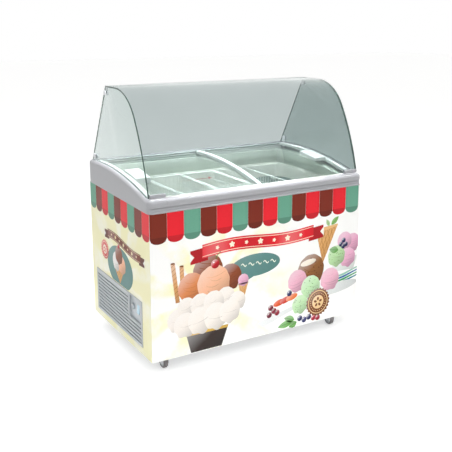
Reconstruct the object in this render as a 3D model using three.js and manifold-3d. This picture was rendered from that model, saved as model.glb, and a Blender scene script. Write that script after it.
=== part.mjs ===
// Ice cream dipping cabinet: a foamed chest freezer on casters, with two curved sliding lids and a
// bent glass canopy. Millimetres, +X to the customer's right, +Y to the server's side, +Z up.
// The origin is on the floor, under the middle of the cabinet.
import * as THREE from 'three';
import { mergeVertices } from 'three/addons/utils/BufferGeometryUtils.js';
import Module from 'manifold-3d';

const wasm = await Module();
wasm.setup();

// ---------------------------------------------------------------- driving dimensions

const OVERALL_WIDTH = 1140; // across the grey top frame
const OVERALL_DEPTH = 700; // front to back of the grey top frame
const BODY_HEIGHT = 657; // underside of the body to the frame, at the front
const FRAME_RISE = 14; // how much higher the frame's lower edge is at the back
const CANOPY_HEIGHT = 1235; // floor to the top of the glass

const SEAT = 0.3; // gap between a piece and what it sits on
const SHEET = 2; // outer steel panels
const PANEL_INSET = 4; // how far the panels stand in from the frame

const WHEEL_RADIUS = 30;
const WHEEL_WIDTH = 22;
const WHEEL_SIDES = 32;
const AXLE_RADIUS = 5;
const CASTER_HEADROOM = 20; // from the top of a wheel to the underside of the body
const CASTER_TRAIL = 18;
const CASTER_PLATE = 64;
const CASTER_INSET_X = 100;
const CASTER_INSET_Y = 77;

// The crest of the frame and the lids under it follow one arc, seen from the side.
const CREST_RISE = 69; // its highest point, above the front rim
const CREST_BACK = 150; // from the back of the frame to that point
const CREST_FOOT = 46; // from the front of the frame to where the arc leaves the front rim

const FRONT_RIM_HEIGHT = 62;
const FRONT_RIM_DEPTH = 29;
const FRONT_RIM_ROUND = 20;
const REAR_RIM_DEPTH = 33;
const REAR_RIM_ROUND = 12;
const END_FRAME_WIDTH = 23;
const END_FRAME_ROUND = FRONT_RIM_ROUND - 2; // a bevel, tighter than the corner that it runs over
const CORNER_WRAP = 85; // how far an end frame's corner reaches along the front

const TANK_LENGTH = 1000;
const TANK_WIDTH = 560;
const TANK_WALL = 2;
const TANK_FLOOR_RISE = 105; // above the underside of the body
const TANK_TOP_RISE = 18; // above the frame's lower edge
const LEDGE_DROP = 7; // of the ledge that the baskets hang on, below the tank's top
const LEDGE_WIDTH = 10;
const FLANGE_WIDTH = 10;
const STEP_LENGTH = 236; // of the tank floor that steps up over the machine space
const FOAM_OVER_MACHINE = 60;
const MACHINE_HEIGHT = 263; // inside the machine space

const COLLAR_LIP_RISE = 27; // above the tank's top; under the lip the collar steps back
const COLLAR_RECESS = 7;
const TRACK_REACH = 12; // how far a lid's edge goes into the tracks
const TRACK_BASE = 36; // the tracks' underside, below the crest
const TRACK_TOP = 6;

const LID_GLASS = 4;
const UPPER_LID_DROP = 10; // top of the upper lid's glass, below the crest
const LOWER_LID_DROP = 22;
const LID_RIDE = 0.4; // gap under a lid's edge in its track
const LID_EDGE_GAP = 1;
const LID_END_GAP = 2; // between a lid's outer end and the end frame
const LID_FRONT_INSET = 9; // of a lid's edge, behind the front rim
const LID_REAR_INSET = 5;
const RAIL_WIDTH = 21;
const RAIL_DROP = 4; // rail tops, below the crest
const RAIL_WALL = 3; // of a rail outside the glass
const RAIL_PASSING_GAP = 1.7; // between the two lids' inner rails
const INNER_RAIL_WIDTH = 19;
const GRIP_LENGTH = 133;
const GRIP_REACH = 69;
const GRIP_MIDDLE_Y = -61;
const GRIP_RISE = 6; // above the crest

const GLASS = 6; // canopy
const CANOPY_END_INSET = 12; // of the canopy's ends, inside the frame's
const CANOPY_FOOT_INSET = 25; // of the front glass's foot, behind the frame's front
const CANOPY_FOOT_RISE = 4; // of that foot, above the front rim
const CANOPY_LOW_RADIUS = 1153;
const CANOPY_MID_ANGLE = 60; // slope where the tight bend starts, in degrees
const CANOPY_TOP_RADIUS = 230;
const CANOPY_TOP_BACK = 225; // from the back of the frame to the end of the flat top
const SIDE_GLASS_BACK = 28; // from the back of the frame to the foot of the side glass
const SHOE_LENGTH = 72;
const SHOE_HEIGHT = 16;
const SHOE_WALL = 4;
const CLAMP_RADIUS = 12;
const CLAMP_PIN_RADIUS = 4;
const CLAMP_PLATE = 4;
const CLAMP_HOLE_GAP = 0.6;

const GRILLE_FRONT_MARGIN = 95; // to the frame's front
const GRILLE_REAR_MARGIN = 63;
const GRILLE_RISE = 35; // above the underside of the body
const GRILLE_HEIGHT = 213;
const GRILLE_FLANGE = 5;
const GRILLE_STAND = 2.5; // how far its flange stands out from the panel
const GRILLE_DEPTH = 8;
const GRILLE_MARGIN = 12; // plain border round the slots
const SLAT_PITCH = 17;
const SLOT_HEIGHT = 8;
const CONTROL_INSET = 15; // from the grille's front edge
const CONTROL_WIDTH = 125;
const CONTROL_HEIGHT = 105;
const CONTROL_DROP = 8; // below the grille's top edge
const CONTROL_RECESS = 9;
const KNOB_RADIUS = 14;
const SWITCH_WIDTH = 26;
const SWITCH_HEIGHT = 40;
const SWITCH_TILT = 6;

const BASKET_COUNT = 4;
const BASKET_GAP = 6;
const BASKET_END_GAP = 5;
const BASKET_DEPTH = 92;
const BASKET_WALL = 3;
const BASKET_LEDGE = 8; // of its rim on the tank's ledge

const TUB_RADIUS = 98;
const TUB_WALL = 3;
const TUB_END_GAP = 11;
const TUB_REAR_GAP = 31;
const TUB_TOP_DROP = 73; // of the upper tub's rim, below the tank's top
const TUB_LID_RADIUS = 101;
const TUB_LID_THICKNESS = 7;

const FAN_RADIUS = 84;
const FAN_Y = 75;
const FAN_RISE = 132; // above the underside of the body
const COMPRESSOR_RADIUS = 72;
const COMPRESSOR_Y = -110;

// ---------------------------------------------------------------- derived places

const HALF_WIDTH = OVERALL_WIDTH / 2;
const HALF_DEPTH = OVERALL_DEPTH / 2;
const FLOOR_CLEARANCE = 2 * WHEEL_RADIUS + CASTER_HEADROOM;
const PANEL_X = HALF_WIDTH - PANEL_INSET;
const PANEL_Y = HALF_DEPTH - PANEL_INSET;
const FRAME_FRONT_Z = FLOOR_CLEARANCE + BODY_HEIGHT;
const RIM_TOP_Z = FRAME_FRONT_Z + FRONT_RIM_HEIGHT;
const INNER_X = PANEL_X - SHEET - SEAT; // what fits between the side panels
const INNER_Y = PANEL_Y - SHEET - SEAT;
const FOAM_TOP_Z = FRAME_FRONT_Z - 1;
const TANK_FLOOR_Z = FLOOR_CLEARANCE + TANK_FLOOR_RISE;
const TANK_TOP_Z = FRAME_FRONT_Z + TANK_TOP_RISE;
const LEDGE_Z = TANK_TOP_Z - LEDGE_DROP;
const COLLAR_LIP_Z = TANK_TOP_Z + COLLAR_LIP_RISE;
const MACHINE_TOP_Z = FLOOR_CLEARANCE + SHEET + MACHINE_HEIGHT;
const TANK_STEP_Z = MACHINE_TOP_Z + FOAM_OVER_MACHINE + TANK_WALL;
const TANK_STEP_X = -TANK_LENGTH / 2 + STEP_LENGTH;
const MACHINE_X = TANK_STEP_X - TANK_WALL - FOAM_OVER_MACHINE;
const RIM_INNER_Y = -HALF_DEPTH + FRONT_RIM_DEPTH;
const REAR_RIM_Y = HALF_DEPTH - REAR_RIM_DEPTH;
const END_FRAME_X = HALF_WIDTH - END_FRAME_WIDTH;
const LID_END_X = END_FRAME_X - LID_END_GAP;

const CREST_Y = HALF_DEPTH - CREST_BACK;
const CREST_Z = RIM_TOP_Z + CREST_RISE;
const CREST_FLAT_Y = -HALF_DEPTH + CREST_FOOT; // the end frames are flat in front of this
const CREST_RADIUS = ((CREST_Y - CREST_FLAT_Y) ** 2 + CREST_RISE ** 2) / (2 * CREST_RISE);

const CANOPY_HALF_WIDTH = HALF_WIDTH - CANOPY_END_INSET;
const CANOPY_REAR_Y = HALF_DEPTH - CANOPY_TOP_BACK;
const SIDE_GLASS_REAR_Y = HALF_DEPTH - SIDE_GLASS_BACK;

const GRILLE_Y0 = -HALF_DEPTH + GRILLE_FRONT_MARGIN;
const GRILLE_Y1 = HALF_DEPTH - GRILLE_REAR_MARGIN;
const GRILLE_Z0 = FLOOR_CLEARANCE + GRILLE_RISE;
const GRILLE_Z1 = GRILLE_Z0 + GRILLE_HEIGHT;
const CONTROL_Y0 = GRILLE_Y0 + CONTROL_INSET;
const CONTROL_Y1 = CONTROL_Y0 + CONTROL_WIDTH;
const CONTROL_Z1 = GRILLE_Z1 - CONTROL_DROP;
const CONTROL_Z0 = CONTROL_Z1 - CONTROL_HEIGHT;

const BASKET_PITCH = (TANK_LENGTH - 4 * BASKET_END_GAP) / (BASKET_COUNT + 1);
const BASKET_WIDTH = BASKET_PITCH - BASKET_GAP;
const TUB_HEIGHT = (TANK_TOP_Z - TUB_TOP_DROP - TANK_FLOOR_Z - 2 * SEAT) / 2;
const TUB_X = TANK_LENGTH / 2 - TUB_END_GAP - TUB_RADIUS;
const TUB_Y = TANK_WIDTH / 2 - TUB_REAR_GAP - TUB_RADIUS;
const FAN_Z = FLOOR_CLEARANCE + FAN_RISE;

function frameBottom(y) {
  return FRAME_FRONT_Z + (FRAME_RISE * (y + HALF_DEPTH)) / OVERALL_DEPTH;
}

// A point above (rise > 0) or below the crest arc, at a distance along it from its highest point.
function onCrest(along, rise) {
  const angle = along / CREST_RADIUS;
  const radius = CREST_RADIUS + rise;
  return new THREE.Vector2(
    CREST_Y + radius * Math.sin(angle),
    CREST_Z - CREST_RADIUS + radius * Math.cos(angle),
  );
}

// The same, where the offset arc crosses a given y.
function crestAt(y, rise) {
  return onCrest(CREST_RADIUS * Math.asin((y - CREST_Y) / (CREST_RADIUS + rise)), rise);
}

function alongCrest(y) {
  return CREST_RADIUS * Math.asin((y - CREST_Y) / CREST_RADIUS);
}

const LID_FRONT = alongCrest(RIM_INNER_Y + LID_FRONT_INSET);
const LID_REAR = alongCrest(REAR_RIM_Y - LID_REAR_INSET);
const RAIL_FRONT = LID_FRONT + TRACK_REACH + LID_EDGE_GAP;
const RAIL_REAR = LID_REAR - TRACK_REACH - LID_EDGE_GAP;

// ---------------------------------------------------------------- shape helpers

function rad(degrees) {
  return (degrees * Math.PI) / 180;
}

function box(x0, x1, y0, y1, z0, z1) {
  const geometry = new THREE.BoxGeometry(x1 - x0, y1 - y0, z1 - z0);
  return geometry.translate((x0 + x1) / 2, (y0 + y1) / 2, (z0 + z1) / 2);
}

// A box that is as long on both sides of the middle plane in X and Y.
function centredBox(halfX, halfY, z0, z1) {
  return box(-halfX, halfX, -halfY, halfY, z0, z1);
}

function outline(points) {
  return new THREE.Shape(points.map(([u, v]) => new THREE.Vector2(u, v)));
}

// Extrudes an outline drawn in Y and Z from x0 to x1.
function alongX(shape, x0, x1, options = {}) {
  const geometry = new THREE.ExtrudeGeometry(shape, { depth: x1 - x0, bevelEnabled: false, ...options });
  const turn = new THREE.Matrix4().makeBasis(
    new THREE.Vector3(0, 1, 0),
    new THREE.Vector3(0, 0, 1),
    new THREE.Vector3(1, 0, 0),
  );
  return geometry.applyMatrix4(turn).translate(x0, 0, 0);
}

// Extrudes an outline drawn in X and Z from y0 to y1.
function alongY(shape, y0, y1) {
  const geometry = new THREE.ExtrudeGeometry(shape, { depth: y1 - y0, bevelEnabled: false });
  return geometry.applyMatrix4(new THREE.Matrix4().makeRotationX(Math.PI / 2)).translate(0, y1, 0);
}

function cylinderX(radius, x0, x1, y, z, sides = 24) {
  const geometry = new THREE.CylinderGeometry(radius, radius, x1 - x0, sides);
  return geometry.rotateZ(Math.PI / 2).translate((x0 + x1) / 2, y, z);
}

function cylinderZ(radius, x, y, z0, z1, sides = 24) {
  const geometry = new THREE.CylinderGeometry(radius, radius, z1 - z0, sides);
  return geometry.rotateX(Math.PI / 2).translate(x, y, (z0 + z1) / 2);
}

// A turned piece about +Z. The profile is a list of [radius, height].
function turned(profile, sides = 24) {
  const points = profile.map(([r, h]) => new THREE.Vector2(r, h));
  return new THREE.LatheGeometry(points, sides).rotateX(Math.PI / 2);
}

function toSolid(geometry) {
  const bare = geometry.clone();
  bare.deleteAttribute('normal');
  bare.deleteAttribute('uv');
  const merged = mergeVertices(bare, 1e-4);
  return new wasm.Manifold(
    new wasm.Mesh({
      numProp: 3,
      vertProperties: new Float32Array(merged.attributes.position.array),
      triVerts: new Uint32Array(merged.index.array),
    }),
  );
}

function toGeometry(solid) {
  const { vertProperties, triVerts } = solid.getMesh();
  const geometry = new THREE.BufferGeometry();
  geometry.setAttribute('position', new THREE.BufferAttribute(vertProperties, 3));
  geometry.setIndex(new THREE.BufferAttribute(triVerts, 1));
  return geometry;
}

function join(...parts) {
  return toGeometry(parts.map(toSolid).reduce((all, part) => all.add(part)));
}

function cut(from, ...tools) {
  return toGeometry(tools.map(toSolid).reduce((left, tool) => left.subtract(tool), toSolid(from)));
}

function keepInside(geometry, limit) {
  return toGeometry(toSolid(geometry).intersect(toSolid(limit)));
}

// A band that follows the crest arc between two distances along it and two rises.
function crestBand(from, to, low, high, steps = 16) {
  const points = [];
  for (let i = 0; i <= steps; i += 1) {
    points.push(onCrest(from + ((to - from) * i) / steps, low));
  }
  for (let i = steps; i >= 0; i -= 1) {
    points.push(onCrest(from + ((to - from) * i) / steps, high));
  }
  return new THREE.Shape(points);
}

// ---------------------------------------------------------------- materials

function material(color, roughness, metalness = 0, extra = {}) {
  return new THREE.MeshStandardMaterial({ color, roughness, metalness, ...extra });
}

const materials = {
  printedSteel: material(0xfdfdf2, 0.35, 0.1),
  steel: material(0xb9bcbe, 0.45, 0.8),
  foam: material(0xe6d9a8, 0.95),
  liner: material(0xdde5dd, 0.4, 0.2),
  frame: material(0xb5b5ba, 0.45),
  collar: material(0xb3bfb4, 0.5),
  track: material(0x8d9294, 0.4, 0.6),
  glass: material(0xa8c4bc, 0.05, 0, { transparent: true, opacity: 0.35 }),
  rail: material(0xe8f0ee, 0.4),
  grille: material(0xb4b9bd, 0.5),
  control: material(0xc2c7cb, 0.45),
  switch: material(0xbfe0f0, 0.3),
  black: material(0x26282a, 0.5),
  compressor: material(0x1d1e20, 0.4, 0.4),
  fins: material(0xa9adb0, 0.35, 0.9),
  copper: material(0xb87348, 0.3, 0.9),
  zinc: material(0xb0b0b4, 0.4, 0.8),
  tyre: material(0x6f6a6a, 0.8),
  wire: material(0xe9eee9, 0.5),
  tub: material(0xd9dddc, 0.4),
  tubLid: material(0x485e5c, 0.4),
};

const cabinet = new THREE.Group();

function addMesh(parent, name, geometry, meshMaterial) {
  const mesh = new THREE.Mesh(geometry, meshMaterial);
  mesh.name = name;
  parent.add(mesh);
  return mesh;
}

function addGroup(parent, x, y, z) {
  const group = new THREE.Group();
  group.position.set(x, y, z);
  parent.add(group);
  return group;
}

// ---------------------------------------------------------------- steel body

function addBody() {
  const pan = box(-INNER_X, INNER_X, -INNER_Y, INNER_Y, FLOOR_CLEARANCE, FLOOR_CLEARANCE + SHEET);
  addMesh(cabinet, 'base_pan', pan, materials.steel);

  const frontTop = frameBottom(-PANEL_Y) - SEAT;
  const front = box(-PANEL_X, PANEL_X, -PANEL_Y, -PANEL_Y + SHEET, FLOOR_CLEARANCE, frontTop);
  addMesh(cabinet, 'front_panel', front, materials.printedSteel);

  const rearTop = frameBottom(PANEL_Y - SHEET) - SEAT;
  const rear = box(-PANEL_X, PANEL_X, PANEL_Y - SHEET, PANEL_Y, FLOOR_CLEARANCE, rearTop);
  const inlet = inletHole();
  addMesh(cabinet, 'rear_panel', cut(rear, inlet), materials.printedSteel);

  const side = outline([
    [-INNER_Y, FLOOR_CLEARANCE],
    [INNER_Y, FLOOR_CLEARANCE],
    [INNER_Y, frameBottom(INNER_Y) - SEAT],
    [-INNER_Y, frameBottom(-INNER_Y) - SEAT],
  ]);
  const window = box(
    -HALF_WIDTH,
    0,
    GRILLE_Y0 + GRILLE_FLANGE,
    GRILLE_Y1 - GRILLE_FLANGE,
    GRILLE_Z0 + GRILLE_FLANGE,
    GRILLE_Z1 - GRILLE_FLANGE,
  );
  const left = cut(alongX(side, -PANEL_X, -PANEL_X + SHEET), window);
  addMesh(cabinet, 'left_panel', left, materials.printedSteel);
  addMesh(cabinet, 'right_panel', alongX(side, PANEL_X - SHEET, PANEL_X), materials.printedSteel);
}

// The tank's stepped side view, grown outwards by a margin, up to a height.
function tankOutline(grow, top) {
  const end = TANK_LENGTH / 2 + grow;
  return outline([
    [TANK_STEP_X - grow, TANK_FLOOR_Z - grow],
    [end, TANK_FLOOR_Z - grow],
    [end, top],
    [-end, top],
    [-end, TANK_STEP_Z - grow],
    [TANK_STEP_X - grow, TANK_STEP_Z - grow],
  ]);
}

// Everything that the tank takes up, grown by a margin: its well, its wider top and its flange.
function tankSolids(grow) {
  const halfLength = TANK_LENGTH / 2 + grow;
  const halfWidth = TANK_WIDTH / 2 + grow;
  return [
    alongY(tankOutline(grow, TANK_TOP_Z), -halfWidth, halfWidth),
    centredBox(halfLength, halfWidth + LEDGE_WIDTH, LEDGE_Z - grow, TANK_TOP_Z),
  ];
}

function addTank() {
  const flange = centredBox(
    TANK_LENGTH / 2 + TANK_WALL + FLANGE_WIDTH,
    TANK_WIDTH / 2 + LEDGE_WIDTH + TANK_WALL + FLANGE_WIDTH,
    TANK_TOP_Z - TANK_WALL,
    TANK_TOP_Z,
  );
  const shell = join(...tankSolids(TANK_WALL), flange);
  const hollow = join(
    alongY(tankOutline(0, TANK_TOP_Z + 1), -TANK_WIDTH / 2, TANK_WIDTH / 2),
    centredBox(TANK_LENGTH / 2, TANK_WIDTH / 2 + LEDGE_WIDTH, LEDGE_Z, TANK_TOP_Z + 1),
  );
  addMesh(cabinet, 'inner_liner', cut(shell, hollow), materials.liner);

  const block = centredBox(INNER_X, INNER_Y, FLOOR_CLEARANCE + SHEET + SEAT, FOAM_TOP_Z);
  const machine = box(-HALF_WIDTH, MACHINE_X, -HALF_DEPTH, HALF_DEPTH, 0, MACHINE_TOP_Z);
  const room = join(...tankSolids(TANK_WALL + SEAT));
  addMesh(cabinet, 'foam_insulation', cut(block, machine, room), materials.foam);
}

// ---------------------------------------------------------------- grey top frame

function rimOutline() {
  const shape = new THREE.Shape();
  shape.moveTo(-HALF_DEPTH, frameBottom(-HALF_DEPTH));
  shape.lineTo(RIM_INNER_Y, frameBottom(RIM_INNER_Y));
  shape.lineTo(RIM_INNER_Y, RIM_TOP_Z);
  shape.lineTo(-HALF_DEPTH + FRONT_RIM_ROUND, RIM_TOP_Z);
  shape.absarc(
    -HALF_DEPTH + FRONT_RIM_ROUND,
    RIM_TOP_Z - FRONT_RIM_ROUND,
    FRONT_RIM_ROUND,
    Math.PI / 2,
    Math.PI,
    false,
  );
  return shape;
}

function rearRimOutline() {
  const top = crestAt(HALF_DEPTH, 0).y;
  const shape = new THREE.Shape();
  shape.moveTo(REAR_RIM_Y, frameBottom(REAR_RIM_Y));
  shape.lineTo(HALF_DEPTH, frameBottom(HALF_DEPTH));
  shape.absarc(HALF_DEPTH - REAR_RIM_ROUND, top - REAR_RIM_ROUND, REAR_RIM_ROUND, 0, Math.PI / 2, false);
  shape.lineTo(REAR_RIM_Y, crestAt(REAR_RIM_Y, 0).y);
  return shape;
}

// The side view of an end frame, drawn down past its lower edge so that the edge stays sharp when
// the outline is bevelled and then cut along the frame's lower plane.
function endFrameOutline(below) {
  const shape = new THREE.Shape();
  shape.moveTo(-HALF_DEPTH, frameBottom(-HALF_DEPTH) - below);
  shape.lineTo(HALF_DEPTH, frameBottom(HALF_DEPTH) - below);
  const steps = 14;
  for (let i = 0; i <= steps; i += 1) {
    const point = crestAt(HALF_DEPTH + ((CREST_FLAT_Y - HALF_DEPTH) * i) / steps, 0);
    shape.lineTo(point.x, point.y);
  }
  shape.lineTo(-HALF_DEPTH + FRONT_RIM_ROUND, RIM_TOP_Z);
  shape.absarc(
    -HALF_DEPTH + FRONT_RIM_ROUND,
    RIM_TOP_Z - FRONT_RIM_ROUND,
    FRONT_RIM_ROUND,
    Math.PI / 2,
    Math.PI,
    false,
  );
  return shape;
}

function endFrame(side) {
  const below = 2 * END_FRAME_ROUND;
  const x0 = -HALF_WIDTH + END_FRAME_ROUND;
  const bevelled = alongX(endFrameOutline(below), x0, x0 + END_FRAME_WIDTH, {
    bevelEnabled: true,
    bevelThickness: END_FRAME_ROUND,
    bevelSize: END_FRAME_ROUND,
    bevelOffset: -END_FRAME_ROUND,
    bevelSegments: 3,
    curveSegments: 4,
  });
  const limit = alongX(
    outline([
      [-OVERALL_DEPTH, frameBottom(-OVERALL_DEPTH)],
      [OVERALL_DEPTH, frameBottom(OVERALL_DEPTH)],
      [OVERALL_DEPTH, CANOPY_HEIGHT],
      [-OVERALL_DEPTH, CANOPY_HEIGHT],
    ]),
    -HALF_WIDTH - 1,
    -END_FRAME_X,
  );
  const overlap = 1;
  const wrap = alongX(rimOutline(), -END_FRAME_X - overlap, -HALF_WIDTH + CORNER_WRAP, { curveSegments: 4 });
  const left = join(keepInside(bevelled, limit), wrap);
  return side < 0 ? left : mirrored(left);
}

// Mirrors a left-hand solid to the right-hand side.
function mirrored(geometry) {
  return toGeometry(toSolid(geometry).mirror([1, 0, 0]));
}

function trackOutline(edge, direction, wallY) {
  const out = edge + direction * TRACK_REACH;
  const back = edge - direction * LID_EDGE_GAP;
  const lowerSlot = [-(LOWER_LID_DROP + LID_GLASS + LID_RIDE), -(LOWER_LID_DROP - LID_EDGE_GAP)];
  const upperSlot = [-(UPPER_LID_DROP + LID_GLASS + LID_RIDE), -(UPPER_LID_DROP - LID_EDGE_GAP)];
  const points = [crestAt(wallY, -TRACK_BASE), onCrest(out, -TRACK_BASE)];
  for (const [low, high] of [lowerSlot, upperSlot]) {
    points.push(onCrest(out, low), onCrest(back, low), onCrest(back, high), onCrest(out, high));
  }
  points.push(onCrest(out, -TRACK_TOP), crestAt(wallY, -TRACK_TOP));
  return new THREE.Shape(direction > 0 ? points : points.reverse());
}

function addFrame() {
  addMesh(cabinet, 'left_end_frame', endFrame(-1), materials.frame);
  addMesh(cabinet, 'right_end_frame', endFrame(1), materials.frame);

  const rimHalf = HALF_WIDTH - CORNER_WRAP - SEAT;
  const rim = alongX(rimOutline(), -rimHalf, rimHalf, { curveSegments: 4 });
  addMesh(cabinet, 'front_rim', rim, materials.frame);

  const rearHalf = END_FRAME_X - SEAT;
  const rearRim = alongX(rearRimOutline(), -rearHalf, rearHalf, { curveSegments: 3 });
  addMesh(cabinet, 'rear_rim', rearRim, materials.frame);

  const frontTrack = trackOutline(LID_FRONT, 1, RIM_INNER_Y + SEAT);
  addMesh(cabinet, 'front_track', alongX(frontTrack, -rearHalf, rearHalf), materials.track);
  const rearTrack = trackOutline(LID_REAR, -1, REAR_RIM_Y - SEAT);
  addMesh(cabinet, 'rear_track', alongX(rearTrack, -rearHalf, rearHalf), materials.track);
  addMesh(cabinet, 'throat_collar', collar(), materials.collar);
}

// The ring between the tank and the lids. Its top follows the lids.
function collar() {
  const y0 = RIM_INNER_Y + SEAT;
  const y1 = REAR_RIM_Y - SEAT;
  const top = -(TRACK_BASE + SEAT);
  const steps = 12;
  const points = [
    [y0, FOAM_TOP_Z + SEAT],
    [y1, FOAM_TOP_Z + SEAT],
  ];
  for (let i = 0; i <= steps; i += 1) {
    const point = crestAt(y1 + ((y0 - y1) * i) / steps, top);
    points.push([point.x, point.y]);
  }
  const block = alongX(outline(points), -END_FRAME_X + SEAT, END_FRAME_X - SEAT);
  const throatX = TANK_LENGTH / 2 + 2;
  const throatY = TANK_WIDTH / 2 + LEDGE_WIDTH;
  const throat = centredBox(throatX, throatY, FOAM_TOP_Z, CANOPY_HEIGHT);
  const recess = centredBox(throatX + COLLAR_RECESS, throatY + COLLAR_RECESS, FOAM_TOP_Z, COLLAR_LIP_Z);
  const flangeRoom = centredBox(
    TANK_LENGTH / 2 + TANK_WALL + FLANGE_WIDTH + SEAT,
    throatY + TANK_WALL + FLANGE_WIDTH + SEAT,
    FOAM_TOP_Z,
    TANK_TOP_Z + SEAT,
  );
  return cut(block, throat, recess, flangeRoom);
}

// ---------------------------------------------------------------- sliding lids

function lidGlass(drop, x0, x1) {
  return alongX(crestBand(LID_FRONT, LID_REAR, -(drop + LID_GLASS), -drop), x0, x1);
}

// A rail clipped over the edge of a lid's glass. The glass enters it up to a small wall.
function rail(drop, low, high, x0, x1, glassFrom, glassTo) {
  const bar = alongX(crestBand(RAIL_FRONT, RAIL_REAR, low, high), x0, x1);
  const room = alongX(
    crestBand(RAIL_FRONT - 1, RAIL_REAR + 1, -(drop + LID_GLASS + SEAT), -(drop - SEAT)),
    glassFrom,
    glassTo,
  );
  return cut(bar, room);
}

function grip(drop, x0, x1) {
  const middle = alongCrest(GRIP_MIDDLE_Y);
  return alongX(
    crestBand(middle - GRIP_LENGTH / 2, middle + GRIP_LENGTH / 2, -(drop - SEAT), GRIP_RISE, 4),
    x0,
    x1,
  );
}

function addLids() {
  const wall = RAIL_WALL;
  const lowerBottom = -(LOWER_LID_DROP + LID_GLASS + 4);
  const upperBottom = -(UPPER_LID_DROP + LID_GLASS + 3);
  const lowerTop = upperBottom - RAIL_PASSING_GAP;
  const outer = LID_END_X;
  const inner = outer - RAIL_WIDTH;

  const leftGlass = lidGlass(LOWER_LID_DROP, -outer + wall + SEAT, INNER_RAIL_WIDTH - wall - SEAT);
  addMesh(cabinet, 'left_lid_glass', leftGlass, materials.glass);
  const leftRail = rail(LOWER_LID_DROP, lowerBottom, -RAIL_DROP, -outer, -inner, -outer + wall, -inner + 1);
  const leftGrip = grip(LOWER_LID_DROP, -inner - 1, -inner + GRIP_REACH);
  addMesh(cabinet, 'left_lid_grip_rail', join(leftRail, leftGrip), materials.rail);
  addMesh(
    cabinet,
    'left_lid_inner_rail',
    rail(LOWER_LID_DROP, lowerBottom, lowerTop, 0, INNER_RAIL_WIDTH, -1, INNER_RAIL_WIDTH - wall),
    materials.rail,
  );

  const rightGlass = lidGlass(UPPER_LID_DROP, wall + SEAT, outer - wall - SEAT);
  addMesh(cabinet, 'right_lid_glass', rightGlass, materials.glass);
  const rightRail = rail(UPPER_LID_DROP, upperBottom, -RAIL_DROP, inner, outer, inner - 1, outer - wall);
  const rightGrip = grip(UPPER_LID_DROP, inner - GRIP_REACH, inner + 1);
  addMesh(cabinet, 'right_lid_grip_rail', join(rightRail, rightGrip), materials.rail);
  addMesh(
    cabinet,
    'right_lid_inner_rail',
    rail(UPPER_LID_DROP, upperBottom, -RAIL_DROP, 0, INNER_RAIL_WIDTH, wall, INNER_RAIL_WIDTH + 1),
    materials.rail,
  );
}

// ---------------------------------------------------------------- glass canopy

// The canopy's side view is a flat top, a tight bend and a long slow bend down to its foot. The
// slow bend's centre follows from the height, and then its slope at the foot and its place.
const CANOPY_TOP_CENTRE_Z = CANOPY_HEIGHT - CANOPY_TOP_RADIUS;
const CANOPY_RADIUS_STEP = CANOPY_LOW_RADIUS - CANOPY_TOP_RADIUS;
const CANOPY_LOW_CENTRE_Z = CANOPY_TOP_CENTRE_Z - CANOPY_RADIUS_STEP * Math.cos(rad(CANOPY_MID_ANGLE));
const CANOPY_FOOT_Y = -HALF_DEPTH + CANOPY_FOOT_INSET;
const CANOPY_FOOT_Z = RIM_TOP_Z + CANOPY_FOOT_RISE;
const CANOPY_FOOT_SLOPE = Math.acos((CANOPY_FOOT_Z - CANOPY_LOW_CENTRE_Z) / CANOPY_LOW_RADIUS);
const CANOPY_LOW_CENTRE_Y = CANOPY_FOOT_Y + CANOPY_LOW_RADIUS * Math.sin(CANOPY_FOOT_SLOPE);
const CANOPY_TOP_CENTRE_Y = CANOPY_LOW_CENTRE_Y - CANOPY_RADIUS_STEP * Math.sin(rad(CANOPY_MID_ANGLE));

// Points down that side view, from the back of the flat top to the foot, at a depth inside the
// outer surface.
function canopyCurve(depth, rearY) {
  const bend = rad(CANOPY_MID_ANGLE);
  const points = [[rearY, CANOPY_HEIGHT - depth]];
  const addArc = (y, z, radius, from, to, step) => {
    const steps = Math.ceil((to - from) / rad(step));
    for (let i = 0; i <= steps; i += 1) {
      const angle = from + ((to - from) * i) / steps;
      points.push([y - (radius - depth) * Math.sin(angle), z + (radius - depth) * Math.cos(angle)]);
    }
  };
  addArc(CANOPY_TOP_CENTRE_Y, CANOPY_TOP_CENTRE_Z, CANOPY_TOP_RADIUS, 0, bend, 6);
  points.pop();
  addArc(CANOPY_LOW_CENTRE_Y, CANOPY_LOW_CENTRE_Z, CANOPY_LOW_RADIUS, bend, CANOPY_FOOT_SLOPE, 2);
  return points;
}

const TOP_CLAMP = { y: CANOPY_REAR_Y - 3, z: CANOPY_HEIGHT - 32 };
const REAR_CLAMP = { y: SIDE_GLASS_REAR_Y - 37, z: crestAt(SIDE_GLASS_REAR_Y - 37, 22).y };

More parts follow.
